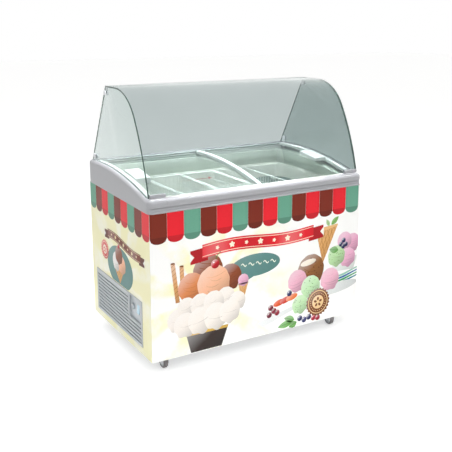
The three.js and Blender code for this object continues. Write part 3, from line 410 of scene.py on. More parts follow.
def add(tree, kind, settings=None, links=None):
    """Adds one shader node, sets its options and sockets, and links its inputs.
    A link's source is a socket, or a node for its first output."""
    node = tree.nodes.new("ShaderNode" + kind)
    settings = settings or {}
    for key in [k for k in settings if isinstance(k, str) and k not in node.inputs]:
        setattr(node, key, settings[key])
    for key in [k for k in settings if not isinstance(k, str) or k in node.inputs]:
        node.inputs[key].default_value = settings[key]
    for key, source in (links or {}).items():
        socket = source.outputs[0] if isinstance(source, bpy.types.Node) else source
        tree.links.new(socket, node.inputs[key])
    return node


def blank(name):
    """An empty node material and its tree."""
    material = bpy.data.materials.new(name)
    material.use_nodes = True
    material.node_tree.nodes.clear()
    return material, material.node_tree


def grained(name, colour, rough, grain=2.0, tone=0.05, relief=0.08, stretch=(1, 1, 1), wear=0.04, **shader):
    """A Principled surface whose colour, gloss and relief vary with a grain of that size in mm."""
    material, tree = blank(name)
    place = add(tree, "TexCoord")
    turn = add(tree, "Mapping", {"Scale": stretch}, {"Vector": place.outputs["Object"]})
    fine = add(
        tree, "TexNoise", {"Scale": 1 / (grain * MM), "Detail": 3.0, "Roughness": 0.6},
        {"Vector": turn},
    )
    broad = add(
        tree, "TexNoise", {"Scale": 9.0, "Detail": 4.0, "Roughness": 0.55},
        {"Vector": place.outputs["Object"]},
    )
    shade = [c * (1 - tone) for c in colour[:3]] + [1]
    light = [min(1, c * (1 + tone * 0.6)) for c in colour[:3]] + [1]
    grain_mix = add(
        tree, "Mix", {"data_type": "RGBA", 6: shade, 7: light},
        {0: fine},
    )
    cloud = add(
        tree, "MapRange", {1: 0.3, 2: 0.7, 3: 1 - tone * 0.7, 4: 1.0},
        {0: broad},
    )
    broad_mix = add(
        tree, "Mix", {"data_type": "RGBA", "blend_type": "MULTIPLY", 0: 1.0},
        {6: grain_mix.outputs[2], 7: cloud},
    )
    gloss = add(
        tree, "MapRange", {1: 0.25, 2: 0.75, 3: max(0.02, rough - wear), 4: rough + wear},
        {0: broad},
    )
    bump = add(
        tree, "Bump", {"Strength": relief, "Distance": grain * MM * 0.3},
        {"Height": fine},
    )
    body = add(
        tree, "BsdfPrincipled", shader,
        {"Base Color": broad_mix.outputs[2], "Roughness": gloss, "Normal": bump},
    )
    add(tree, "OutputMaterial", {}, {"Surface": body})
    return material


def satin_abs(name, colour, rough=0.38):
    """Injection moulded ABS with a fine spark-eroded grain: an even satin with soft highlights."""
    return grained(name, colour, rough, grain=1.6, tone=0.04, relief=0.05, **{"IOR": 1.53})


def print_film(name, ground, rays, centre, reach):
    """Cast vinyl film, offset printed and laminated over painted sheet: a satin sheen with faint
    orange peel. centre is the middle of its printed rays and reach where they fade, in mm."""
    material, tree = blank(name)
    place = add(tree, "TexCoord")
    shifted = add(
        tree, "Mapping", {"Location": [-c * MM for c in centre]},
        {"Vector": place.outputs["Object"]},
    )
    axis = add(tree, "SeparateXYZ", {}, {"Vector": shifted})
    run = add(tree, "Math", {"operation": "ADD"}, {0: axis.outputs["X"], 1: axis.outputs["Y"]})
    angle = add(
        tree, "Math", {"operation": "ARCTAN2"}, {0: axis.outputs["Z"], 1: run}
    )
    wobble = add(
        tree, "TexNoise", {"Scale": 7.0, "Detail": 4.0, "Roughness": 0.6},
        {"Vector": place.outputs["Object"]},
    )
    swung = add(
        tree, "Math", {"operation": "MULTIPLY_ADD", 1: 0.35},
        {0: wobble, 2: angle},
    )
    beam = add(tree, "Math", {"operation": "MULTIPLY", 1: 9.0}, {0: swung})
    wave = add(tree, "Math", {"operation": "SINE"}, {0: beam})
    beams = add(tree, "MapRange", {1: -0.25, 2: 0.45}, {0: wave})
    far = add(tree, "VectorMath", {"operation": "LENGTH"}, {0: shifted})
    fade = add(tree, "MapRange", {1: reach * MM, 2: reach * MM * 0.35}, {0: far.outputs["Value"]})
    cloud = add(tree, "MapRange", {1: 0.35, 2: 0.6}, {0: wobble})
    part = add(tree, "Math", {"operation": "MULTIPLY"}, {0: beams, 1: fade})
    share = add(tree, "Math", {"operation": "MULTIPLY"}, {0: part, 1: cloud})
    colour = add(
        tree, "Mix", {"data_type": "RGBA", 6: ground, 7: rays}, {0: share}
    )
    # halftone grain, drawn 1.5 mm coarse so that it shows
    dots = add(tree, "TexNoise", {"Scale": 650.0, "Detail": 1.0}, {"Vector": place.outputs["Object"]})
    grit = add(tree, "MapRange", {1: 0.3, 2: 0.7, 3: 0.965, 4: 1.0}, {0: dots})
    inked = add(
        tree, "Mix", {"data_type": "RGBA", "blend_type": "MULTIPLY", 0: 1.0},
        {6: colour.outputs[2], 7: grit},
    )
    peel = add(tree, "TexNoise", {"Scale": 160.0, "Detail": 2.0}, {"Vector": place.outputs["Object"]})
    bump = add(tree, "Bump", {"Strength": 0.04, "Distance": 0.0005}, {"Height": peel})
    gloss = add(tree, "MapRange", {1: 0.3, 2: 0.7, 3: 0.3, 4: 0.4}, {0: wobble})
    body = add(
        tree, "BsdfPrincipled", {"IOR": 1.5, "Specular IOR Level": 0.2},
        {"Base Color": inked.outputs[2], "Roughness": gloss, "Normal": bump},
    )
    add(tree, "OutputMaterial", {}, {"Surface": body})
    return material


def printing_ink(name):
    """Solvent ink on cast vinyl: the colour is the piece's own, broken by a halftone grain."""
    material, tree = blank(name)
    place = add(tree, "TexCoord")
    ink = add(tree, "Attribute", {"attribute_name": "ink"})
    dots = add(tree, "TexNoise", {"Scale": 420.0, "Detail": 2.0}, {"Vector": place.outputs["Object"]})
    grit = add(tree, "MapRange", {1: 0.3, 2: 0.7, 3: 0.93, 4: 1.03}, {0: dots})
    inked = add(
        tree, "Mix", {"data_type": "RGBA", "blend_type": "MULTIPLY", 0: 1.0},
        {6: ink.outputs["Color"], 7: grit},
    )
    broad = add(tree, "TexNoise", {"Scale": 12.0, "Detail": 3.0}, {"Vector": place.outputs["Object"]})
    gloss = add(tree, "MapRange", {1: 0.3, 2: 0.7, 3: 0.32, 4: 0.42}, {0: broad})
    bump = add(tree, "Bump", {"Strength": 0.03, "Distance": 0.0004}, {"Height": dots})
    body = add(
        tree, "BsdfPrincipled", {"IOR": 1.5, "Specular IOR Level": 0.2},
        {"Base Color": inked.outputs[2], "Roughness": gloss, "Normal": bump},
    )
    add(tree, "OutputMaterial", {}, {"Surface": body})
    return material


def float_glass(name, colour):
    """Bent float glass, thin enough that it moves nothing seen through it: a tinted window that
    mirrors more towards grazing, with a faint wipe haze. Each of its two faces gives half the tint."""
    material, tree = blank(name)
    place = add(tree, "TexCoord")
    smear = add(tree, "TexNoise", {"Scale": 6.0, "Detail": 4.0}, {"Vector": place.outputs["Object"]})
    face = [math.sqrt(c) for c in colour[:3]] + [1]
    deep = [c * 0.97 for c in face[:3]] + [1]
    through = add(tree, "Mix", {"data_type": "RGBA", 6: deep, 7: face}, {0: smear})
    clear = add(tree, "BsdfTransparent", {}, {"Color": through.outputs[2]})
    rough = add(tree, "MapRange", {1: 0.3, 2: 0.7, 3: 0.02, 4: 0.07}, {0: smear})
    mirror = add(tree, "BsdfGlossy", {"Color": (0.92, 0.95, 0.94, 1)}, {"Roughness": rough})
    facing = add(tree, "Fresnel", {"IOR": 1.42})
    side = add(tree, "NewGeometry")
    outer = add(tree, "Math", {"operation": "SUBTRACT", 0: 1.0}, {1: side.outputs["Backfacing"]})
    share = add(tree, "Math", {"operation": "MULTIPLY"}, {0: facing, 1: outer})
    pane = add(
        tree, "MixShader", {}, {0: share, 1: clear, 2: mirror}
    )
    add(tree, "OutputMaterial", {}, {"Surface": pane})
    return material


MADE = {}


def finish(key):
    """The material of that name, made the first time it is asked for."""
    if key not in MADE:
        MADE[key] = RECIPES[key]()
    return MADE[key]


RECIPES = {
    # satin ABS mouldings
    "moulded_abs_frame": lambda: satin_abs("moulded_abs_frame", colours().frame_grey, 0.34),
    "moulded_abs_collar": lambda: satin_abs("moulded_abs_collar", colours().collar_grey, 0.42),
    "moulded_abs_grille": lambda: satin_abs("moulded_abs_grille", colours().grille_grey, 0.42),
    "moulded_abs_control": lambda: satin_abs("moulded_abs_control", linear("BFC5CA"), 0.36),
    "moulded_abs_dial": lambda: satin_abs("moulded_abs_dial", linear("A4ABB1"), 0.36),
    "moulded_abs_black": lambda: grained("moulded_abs_black", linear("2A2C2E"), 0.45, 0.8, 0.15, 0.15),
    "moulded_pc_switch": lambda: satin_abs("moulded_pc_switch", linear("BFE0F0"), 0.18),
    # extruded PVC: faint lines along the rail
    "extruded_pvc_rail": lambda: grained(
        "extruded_pvc_rail", colours().rail_white, 0.3, 3.0, 0.03, 0.05, (1, 0.06, 1), IOR=1.53),
    # coil coated aluminium: a slight orange peel
    "coated_aluminium_liner": lambda: grained(
        "coated_aluminium_liner", colours().liner_white, 0.32, 5.0, 0.03, 0.06, IOR=1.5),
    # white powder coat on steel, with a fine peel
    "powder_coated_steel": lambda: grained(
        "powder_coated_steel", linear("EFF0EE"), 0.4, 2.5, 0.03, 0.08, IOR=1.5),
    # hot dip galvanised sheet: grey spangle of 10 mm flakes
    "galvanised_steel": lambda: grained(
        "galvanised_steel", linear("B9BCBE"), 0.42, 10.0, 0.16, 0.05, Metallic=0.9),
    # bright zinc plate on pressed steel
    "zinc_plated_steel": lambda: grained(
        "zinc_plated_steel", linear("E0E1E5"), 0.36, 1.5, 0.06, 0.06, Metallic=0.1),
    # pale satin anodised aluminium, its lines drawn along X
    "anodised_aluminium_track": lambda: grained(
        "anodised_aluminium_track", linear("D3DAD8"), 0.35, 1.2, 0.06, 0.06, (0.04, 1, 1), Metallic=0.15),
    # mill finish aluminium fins
    "rolled_aluminium_fins": lambda: grained(
        "rolled_aluminium_fins", linear("B4B8BA"), 0.35, 2.0, 0.12, 0.1, Metallic=0.95),
    # drawn copper tube, tarnished in patches
    "drawn_copper_tube": lambda: grained(
        "drawn_copper_tube", linear("C98A62"), 0.3, 6.0, 0.22, 0.05, Metallic=1.0),
    # black stoving enamel on pressed steel
    "stoved_enamel_black": lambda: grained(
        "stoved_enamel_black", linear("202224"), 0.28, 3.0, 0.2, 0.08, IOR=1.5),
    # rigid polyurethane foam: matt, with 3 mm cells
    "foamed_polyurethane": lambda: grained(
        "foamed_polyurethane", linear("E8DCAE"), 0.9, 3.0, 0.12, 0.5),
    # vinyl dipped steel wire: a thick soft gloss
    "vinyl_dipped_wire": lambda: grained(
        "vinyl_dipped_wire", linear("F1F5F2"), 0.28, 4.0, 0.03, 0.1, IOR=1.5),
    # injection moulded polypropylene
    "moulded_polypropylene_tub": lambda: grained(
        "moulded_polypropylene_tub", linear("E2E6E4"), 0.4, 2.0, 0.03, 0.05, IOR=1.49),
    "moulded_polypropylene_lid": lambda: grained(
        "moulded_polypropylene_lid", colours().tub_lid_green, 0.34, 2.0, 0.08, 0.06, IOR=1.49),
    "moulded_polypropylene_knob": lambda: grained(
        "moulded_polypropylene_knob", linear("D5DEDA"), 0.34, 2.0, 0.04, 0.05, IOR=1.49),
    # grey thermoplastic rubber, scuffed
    "moulded_rubber_tread": lambda: grained(
        "moulded_rubber_tread", linear("8A8585"), 0.75, 1.5, 0.14, 0.25),
    # printed films
    "printed_vinyl_front": lambda: print_film(
        "printed_vinyl_front", colours().front_ground, colours().rays, (-300, -346, 330), 560),
    "printed_vinyl_side": lambda: print_film(
        "printed_vinyl_side", colours().side_ground, linear("FCFBEA"), (-566, -40, 380), 640),
    "printed_vinyl_ink": lambda: printing_ink("printed_vinyl_ink"),
    # glass
    "bent_float_glass": lambda: float_glass("bent_float_glass", colours().canopy_tint),
    "flat_float_glass": lambda: float_glass("flat_float_glass", linear("C9D4D2")),
    "bent_lid_glass": lambda: float_glass("bent_lid_glass", linear("F6F9F7")),
    # ground and polished glass edge: the body tint seen along the sheet, dark green and glossy
    "polished_glass_edge": lambda: grained(
        "polished_glass_edge", colours().glass_edge, 0.12, 4.0, 0.15, 0.02, IOR=1.5),
    "lid_glass_edge": lambda: grained(
        "lid_glass_edge", linear("8FB3A6"), 0.15, 4.0, 0.1, 0.02, IOR=1.5),
}


# ---------------------------------------------------------------- frame round the top


FRONT_ROUND, REAR_ROUND = 18, 16
FRAME_CORNER = 24
END_INNER_X, END_INNER_BACK = 547, 325
NO_GROOVE = 0.02


def rim_section(depth, round_off, groove):
    """Points round the frame's section: (out from the inner face, "foot" or "top", offset)."""
    points = [(0, "foot", 0), (depth - 2.5, "foot", 0), (depth - 0.7, "foot", 0.8), (depth, "foot", 2.6)]
    points += [(depth, "foot", 6), (depth - groove * 0.15, "foot", 8), (depth - groove * 0.6, "foot", 10)]
    points += [(depth - groove * 0.6, "foot", 20), (depth - groove, "foot", 21)]
    points += [(depth - groove, "foot", 24.5)]
    points += [(depth - groove * 0.2, "foot", 26), (depth, "foot", 28)]
    points += [(depth, "top", -round_off - 2)]
    for k in range(9):
        a = math.radians(k * 90 / 8)
        points.append((depth - round_off * (1 - math.cos(a)), "top", -round_off * (1 - math.sin(a))))
    points += [(1.5, "top", 0), (0.4, "top", -0.4), (0, "top", -1.5)]
    return points + points[:1]


def rim_row(inner, outer, round_off, groove):
    """One section between an inner and an outer point of the plan."""
    inner, outer = Vector(inner), Vector(outer)
    depth = (outer - inner).length
    row = []
    for out, level, offset in rim_section(depth, round_off, groove):
        at = inner + (outer - inner) * (out / depth)
        z = frame_foot(at.y) + offset if level == "foot" else crest(at.y) + offset
        row.append((at.x, at.y, z))
    return row


def arc_steps(count):
    return [k / count for k in range(count + 1)]


def end_frame_rows():
    """Sections along the left end frame, from its wrap on the front round to the back."""
    deep = sizes().groove_depth / MM
    x0, x1 = -HALF_X, -END_INNER_X
    front, back = RIM_HIGH.y, END_INNER_BACK
    corner = FRAME_CORNER
    rows = [rim_row((x, front), (x, -HALF_Y), FRONT_ROUND, deep) for x in (-484.6, -500, -520, -540)]
    for t in arc_steps(10):
        a = math.radians(90 * t)
        out = (x0 + corner - corner * math.sin(a), -HALF_Y + corner - corner * math.cos(a))
        rows.append(rim_row((x1, front), out, FRONT_ROUND, deep * (1 - t) + NO_GROOVE))
    for y in [-300 + 25 * k for k in range(26)]:
        rows.append(rim_row((x1, y), (x0, y), FRONT_ROUND, NO_GROOVE))
    for t in arc_steps(8):
        a = math.radians(90 * t)
        out = (x0 + corner - corner * math.cos(a), HALF_Y - corner + corner * math.sin(a))
        rows.append(rim_row((x1, back), out, REAR_ROUND, NO_GROOVE))
    rows.append(rim_row((x1, back), (x1, HALF_Y), REAR_ROUND, NO_GROOVE))
    return rows


class CABINET_OT_frame(bpy.types.Operator):
    """Moulded frame round the cabinet's top: rims, end frames with their corner wraps"""

    bl_idname = "cabinet.frame"
    bl_label = "Frame"

    def execute(self, context):
        deep = sizes().groove_depth / MM
        grey = finish("moulded_abs_frame")
        left = smooth(skin("left_end_moulding", end_frame_rows(), caps=True), 40)
        right = mirrored(left, "right_end_moulding")
        finished(left, grey, stands_for=["left_end_frame"])
        finished(right, grey, stands_for=["right_end_frame"])
        y_in = RIM_HIGH.y
        across = [-484 + 968 * t for t in arc_steps(8)]
        rows = [rim_row((x, y_in), (x, -HALF_Y), FRONT_ROUND, deep) for x in across]
        front = smooth(skin("front_rim_moulding", rows, caps=True), 40)
        finished(front, grey, stands_for=["front_rim"])
        y_in = span("rear_rim")[0].y
        across = (-546.6, -200, 200, 546.6)
        rows = [rim_row((x, y_in), (x, HALF_Y), REAR_ROUND, NO_GROOVE) for x in across]
        rear = smooth(skin("rear_rim_moulding", rows, caps=True), 40)
        finished(rear, grey, stands_for=["rear_rim"])
        return {"FINISHED"}


# ---------------------------------------------------------------- stage


def seen_straight(tree):
    """A socket that is 1 on the rays that show the stage itself: camera, glossy and transmission."""
    ray = add(tree, "LightPath")
    share = ray.outputs["Is Camera Ray"]
    for other in ("Is Glossy Ray", "Is Transmission Ray"):
        share = add(tree, "Math", {"operation": "MAXIMUM"}, {0: share, 1: ray.outputs[other]}).outputs[0]
    return share


class CABINET_OT_stage(bpy.types.Operator):
    """Pale floor, soft light and the camera"""

    bl_idname = "cabinet.stage"
    bl_label = "Stage"

    def execute(self, context):
        deselect()
        bpy.ops.mesh.primitive_plane_add(size=60, location=(0, 0, 0))
        floor = named("studio_floor")
        material, tree = blank("pale_floor")
        place = add(tree, "TexCoord")
        mottle = add(tree, "TexNoise", {"Scale": 3.0}, {"Vector": place.outputs["Object"]})
        shade = add(
            tree, "Mix",
            {"data_type": "RGBA", 6: linear("F4F4F3"), 7: linear("F7F7F6")}, {0: mottle},
        )
        matt = add(tree, "BsdfDiffuse", {"Roughness": 0.5}, {"Color": shade.outputs[2]})
        seen = seen_straight(tree)
        level = add(tree, "Math", {"operation": "MULTIPLY", 1: 0.42}, {0: seen})
        lift = add(tree, "Emission", {}, {"Strength": level})
        both = add(tree, "AddShader", {}, {0: matt, 1: lift})
        add(tree, "OutputMaterial", {}, {"Surface": both})
        floor.data.materials.append(material)

        world = bpy.data.worlds.new("studio_world")
        context.scene.world = world
        world.use_nodes = True
        tree = world.node_tree
        tree.nodes.clear()
        seen = seen_straight(tree)
        level = add(tree, "MapRange", {3: 0.62, 4: 1.0}, {0: seen})
        sky = add(tree, "Background", {"Color": (1, 1, 1, 1)}, {"Strength": level})
        add(tree, "OutputWorld", {}, {"Surface": sky})

        for name, place, aim, size, power, spread in (
            ("key_softbox", (-2.2, -3.2, 3.4), (0, 0, 0.6), 2.6, 56, 180),
            ("fill_softbox", (3.2, -2.0, 2.6), (0, 0, 0.6), 2.6, 22, 180),
            ("top_softbox", (0.0, 0.5, 3.6), (0, 0, 0.8), 2.4, 30, 180),
            ("tank_softbox", (0.0, -0.2, 3.0), (0, 0.05, 0.4), 0.7, 13, 40),
        ):
            lamp = bpy.data.lights.new(name, "AREA")
            lamp.shape = "SQUARE"
            lamp.size = size
            lamp.energy = power
            lamp.spread = math.radians(spread)
            holder = bpy.data.objects.new(name, lamp)
            context.scene.collection.objects.link(holder)
            holder.location = place
            holder.visible_glossy = False
            holder.rotation_euler = (Vector(aim) - Vector(place)).to_track_quat("-Z", "Y").to_euler()

        lens = bpy.data.cameras.new("front_left_camera")
        lens.sensor_width = 36
        lens.lens = 56.54
        lens.shift_y = -0.12
        camera = bpy.data.objects.new("front_left_camera", lens)
        context.scene.collection.objects.link(camera)
        camera.location = (-1.7315, -2.9315, 1.4922)
        camera.rotation_euler = (math.pi / 2 - 0.2004, 0, -0.5351)
        context.scene.camera = camera
        context.scene.view_settings.view_transform = "Standard"
        return {"FINISHED"}


# ---------------------------------------------------------------- printed panels


class Sheet:
    """A panel's face: u runs to the right and v up, as seen from outside."""

    def __init__(self, origin, right, out, reach):
        self.origin, self.right, self.out, self.reach = Vector(origin), Vector(right), Vector(out), reach

    def at(self, u, v, layer=0):
        """A point of the print, cut off at the panel's ends, each layer 0.1 mm in front of the last."""
        u = max(-self.reach, min(self.reach, u))
        return self.origin + self.right * u + Vector((0, 0, v)) + self.out * (0.15 + 0.1 * layer)


FRONT = Sheet((0, -346, 0), (1, 0, 0), (0, -1, 0), 565.6)
LEFT = Sheet((-566, 0, 0), (0, -1, 0), (-1, 0, 0), 345.6)
RIGHT = Sheet((566, 0, 0), (0, 1, 0), (1, 0, 0), 345.6)
TANK_REAR = Sheet((0, 280, 0), (1, 0, 0), (0, -1, 0), 480)


def shade_of(colour, share):
    """A colour made darker, below 0, or lighter, above 0."""
    to = 1.0 if share > 0 else 0.0
    return [c + (to - c) * abs(share) for c in colour[:3]] + [1.0]


def inked(name, sheet, rows, colour, layer):
    """A printed shape through rows of (u, v) points; colour(u, v) gives each point its ink."""
    piece = skin(name, [[sheet.at(u, v, layer) for u, v in row] for row in rows], flip=False)
    if piece.data.polygons and piece.data.polygons[0].normal.dot(sheet.out) < 0:
        piece.data.flip_normals()
    ink = piece.data.color_attributes.new("ink", "FLOAT_COLOR", "POINT")
    for vertex, mark in zip(piece.data.vertices, ink.data):
        place = vertex.co / MM - sheet.origin
        mark.color = colour(place.dot(sheet.right), place.z)
    return piece


def stripe(name, sheet, left, right, top, foot, colour, layer=0):
    """One awning stripe: a tab with a rounded foot and a darker hem."""
    half = (right - left) / 2
    rows = []
    for t in arc_steps(12):
        u = left + (right - left) * t
        low = foot + half * 0.62 * (1 - math.sqrt(max(0.0, 1 - (2 * t - 1) ** 2)))
        rows.append([(u, low), (u, foot + half * 0.62 + 4), (u, foot + half * 0.62 + 5), (u, top(u))])
    dark = shade_of(colour, -0.3)
    hem = foot + half * 0.62 + 4.5

    def ink(u, v):
        edge = abs((u - left) / (right - left) - 0.5) * 2
        return shade_of(dark if v < hem else colour, -0.12 * edge**6)

    return inked(name, sheet, rows, ink, layer)


def awning(name, sheet, start, end, order, foot, top):
    """The printed awning over one panel, its stripes in the colours of order."""
    inks = {"R": colours().stripe_red, "B": colours().stripe_brown, "G": colours().stripe_green}
    pitch = (end - start) / len(order)
    parts = [
        stripe(
            f"{name}_{i}", sheet, start + pitch * i, start + pitch * (i + 1) - 0.6, top,
            foot(start + pitch * (i + 0.5)), [*inks[key]],
        )
        for i, key in enumerate(order)
    ]
    return joined(name, parts)


class CABINET_OT_panels(bpy.types.Operator):
    """Film on the outer panels, with the printed awning along their tops"""

    bl_idname = "cabinet.panels"
    bl_label = "Panels and awning"

    def execute(self, context):
        for node, key in (
            ("front_panel", "printed_vinyl_front"), ("left_panel", "printed_vinyl_side"),
            ("right_panel", "printed_vinyl_side"), ("rear_panel", "powder_coated_steel"),
            ("base_pan", "galvanised_steel"),
        ):
            NODES[node].data.materials.clear()
            NODES[node].data.materials.append(finish(key))
        ink = finish("printed_vinyl_ink")
        wide = sizes().stripe_width / MM
        foot = sizes().awning_foot / MM
        across = awning(
            "awning_print_front", FRONT, -565.5, -565.5 + wide * 14 - 9, "BRGBRGBRGBRBRG",
            lambda u: foot, lambda u: 738.5,
        )
        finished(across, ink)
        side = awning(
            "awning_print_left", LEFT, -345.5, 345.5, "GBRGBRGBR", lambda u: foot + 15 - u / 45,
            lambda u: frame_foot(-u) + 1,
        )
        finished(side, ink)
        other = awning(
            "awning_print_right", RIGHT, -345.5, 345.5, "RBGRBGRBG", lambda u: foot + 15 + u / 45,
            lambda u: frame_foot(u) + 1,
        )
        finished(other, ink)
        return {"FINISHED"}


# ---------------------------------------------------------------- printed artwork


def lit(colour, centre, radius, deep=0.4, bright=0.3):
    """Ink that is lighter towards the upper left of a round form and darker towards its lower right."""
    base = linear(colour)

    def ink(u, v):
        turn = ((centre[0] - u) * 0.6 + (v - centre[1]) * 0.8) / radius
        turn = max(-1.0, min(1.0, turn))
        return shade_of(base, turn * (bright if turn > 0 else deep))

    return ink


def plain(colour):
    base = linear(colour)
    return lambda u, v: base


def oval(centre, rx, ry, tilt=0, ragged=0.0, lobes=7, count=48):
    """Points round an oval whose edge swells and shrinks in lobes."""
    points = []
    lean = math.radians(tilt)
    for k in range(count):
        a = 2 * math.pi * k / count
        swell = 1 + ragged * math.sin(lobes * a + rx)
        u, v = rx * swell * math.cos(a), ry * swell * math.sin(a)
        across = centre[0] + u * math.cos(lean) - v * math.sin(lean)
        points.append((across, centre[1] + u * math.sin(lean) + v * math.cos(lean)))
    return points


def corners(*points, steps=6):
    """Points along the straight sides of a shape."""
    route = []
    for a, b in zip(points, points[1:] + points[:1]):
        route += [(a[0] + (b[0] - a[0]) * k / steps, a[1] + (b[1] - a[1]) * k / steps) for k in range(steps)]
    return route


class Picture:
    """Printed shapes on one sheet, each laid over the ones before it where its layer is higher."""

    def __init__(self, name, sheet):
        self.name, self.sheet, self.parts = name, sheet, []

    def add(self, rows, ink, layer):
        self.parts.append(inked(f"{self.name}_{len(self.parts)}", self.sheet, rows, ink, layer))

    def shape(self, outline, ink, layer, rings=5, centre=None):
        """A filled shape whose outline is seen whole from its centre."""
        n = len(outline)
        cu, cv = centre or (sum(p[0] for p in outline) / n, sum(p[1] for p in outline) / n)
        ring = outline + outline[:1]
        rows = [[(cu + (u - cu) * t, cv + (v - cv) * t) for u, v in ring] for t in arc_steps(rings)]
        self.add(rows, ink, layer)

    def line(self, points, width, ink, layer):
        """A stroke that tapers a little at its ends."""
        left, right = [], []
        for i, (u, v) in enumerate(points):
            a, b = points[max(0, i - 1)], points[min(len(points) - 1, i + 1)]
            run = math.hypot(b[0] - a[0], b[1] - a[1])
            nu, nv = -(b[1] - a[1]) / run * width / 2, (b[0] - a[0]) / run * width / 2
            taper = 0.55 if i in (0, len(points) - 1) else 1
            left.append((u + nu * taper, v + nv * taper))
            right.append((u - nu * taper, v - nv * taper))
        self.add([left, right], ink, layer)

    def scoop(self, centre, radius, colour, layer, flecks=None, seed=1, scrapes=4, deep=0.4):
        """A ball of ice cream with a ragged skirt, curved scrape marks and flecks."""
        chance = random.Random(seed)
        outline = []
        for k in range(64):
            a = 2 * math.pi * k / 64
            low = max(0.0, -math.sin(a))
            r = radius * (1 + 0.012 * math.sin(11 * a) + low * 0.07 * math.sin(7 * a + seed) + low * 0.05)
            outline.append((centre[0] + r * math.cos(a), centre[1] + r * math.sin(a)))
        self.shape(outline, lit(colour, centre, radius, deep), layer, 7, centre)
        for k in range(scrapes):
            lift = radius * (0.6 - 1.25 * (k + 0.5) / scrapes + chance.uniform(-0.1, 0.1))
            reach = math.sqrt(radius**2 - lift**2) * chance.uniform(0.35, 0.78)
            lean = chance.uniform(-0.16, 0.16) * radius
            shift = chance.uniform(-0.15, 0.15) * radius
            arc = []
            for t in [x / 6 for x in range(-6, 7)]:
                v = centre[1] + lift + lean * t - radius * 0.12 * (1 - t * t)
                arc.append((centre[0] + shift + reach * t, v))
            ink = lit(colour, (centre[0], centre[1] + radius * 0.5), radius, 0.5, 0.1)
            self.line(arc, radius * chance.uniform(0.025, 0.045), ink, layer + 0.3)
        if flecks:
            for k in range(16):
                a, r = chance.uniform(0, 6.28), radius * 0.85 * math.sqrt(chance.random())
                at = (centre[0] + r * math.cos(a), centre[1] + r * math.sin(a))
                fleck = oval(at, radius * 0.06, radius * 0.03, chance.uniform(0, 180), count=8)
                self.shape(fleck, plain(flecks), layer + 0.5, 1)

    def cone(self, top_left, top_right, tip, layer, colour="DDA765"):
        """A waffle cone with a pressed lattice and a rolled lip."""
        (lu, lv), (ru, rv), (tu, tv) = top_left, top_right, tip
        middle = ((lu + ru + tu) / 3, (lv + rv + tv) / 3)
        reach = math.hypot(ru - lu, rv - lv)
        self.shape(corners(top_left, top_right, tip), lit(colour, middle, reach, 0.45, 0.25), layer, 4)
        for k in range(1, 6):
            t = k / 6
            a = (lu + (ru - lu) * t, lv + (rv - lv) * t)
            for side, (su, sv) in (("left", top_left), ("right", top_right)):
                share = t if side == "left" else 1 - t
                b = (su + (tu - su) * share, sv + (tv - sv) * share)
                self.line([a, b], reach * 0.028, plain("A8692F"), layer + 0.3)
        sag = ((lu + ru) / 2, (lv + rv) / 2 - reach * 0.03)
        self.line([top_left, sag, top_right], reach * 0.13, plain("E9BE82"), layer + 0.5)

    def berry(self, at, radius, colour, layer):
        self.shape(oval(at, radius, radius, count=24), lit(colour, at, radius, 0.5, 0.55), layer, 4)
        glint = (at[0] - radius * 0.35, at[1] + radius * 0.4)
        self.shape(oval(glint, radius * 0.2, radius * 0.14, 30, count=10), plain("FFFFFF"), layer + 0.3, 1)

    def leaf(self, base, tip, width, colour, layer):
        """A pointed leaf with its midrib."""
        run = math.hypot(tip[0] - base[0], tip[1] - base[1])
        du, dv = (tip[0] - base[0]) / run, (tip[1] - base[1]) / run
        sides = [[], []]
        for t in arc_steps(10):
            bulge = width / 2 * math.sin(math.pi * t) ** 0.8 * (1.15 - 0.3 * t)
            u, v = base[0] + du * run * t, base[1] + dv * run * t
            sides[0].append((u - dv * bulge, v + du * bulge))
            sides[1].append((u + dv * bulge, v - du * bulge))
        self.add(sides, lit(colour, base, run, 0.4, 0.35), layer)
        middle = ((base[0] + tip[0]) / 2, (base[1] + tip[1]) / 2)
        self.line([base, middle, tip], width * 0.06, plain("3F7A35"), layer + 0.3)

    def seal(self, centre, radius, rim, face, layer):
        """A round badge with a pinked edge and an inner ring."""
        self.shape(
            oval(centre, radius, radius, 0, 0.045, 24, 192), lit(rim, centre, radius, 0.25, 0.2),
            layer, 3, centre,
        )
        for size, ink, rise in (
            (0.86, plain(face), 0.3), (0.8, lit(rim, centre, radius, 0.2, 0.15), 0.5),
            (0.5, lit(face, centre, radius, 0.15, 0.5), 0.8),
        ):
            self.shape(oval(centre, radius * size, radius * size), ink, layer + rise, 2, centre)
        for k in range(5):
            a = math.radians(90 + 72 * k)
            at = (centre[0] + radius * 0.24 * math.cos(a), centre[1] + radius * 0.24 * math.sin(a))
            petal = oval(at, radius * 0.13, radius * 0.09, 90 + 72 * k, count=16)
            self.shape(petal, plain(rim), layer + 1.1, 1)
        for k in range(24):
            a = 2 * math.pi * k / 24
            at = (centre[0] + radius * 0.65 * math.cos(a), centre[1] + radius * 0.65 * math.sin(a))
            self.shape(oval(at, radius * 0.035, radius * 0.035, count=8), plain(face), layer + 1.1, 1)

    def ribbon(self, start, end, rise, height, colour, piping, layer):
        """A waving ribbon with forked tails folded behind its ends; rise is its slope."""
        length = end - start

        def middle(u):
            t = (u - start) / length
            return rise(t) + height * 0.16 * math.sin(2 * math.pi * t)

        def strip(u0, u1, lift, ink, at):
            rows = [[], [], [], []]
            for t in arc_steps(24):
                u = u0 + (u1 - u0) * t
                for row, side in zip(rows, (-1, -0.35, 0.35, 1)):
                    row.append((u, middle(u) + lift + side * height / 2))
            self.add(rows, ink, at)

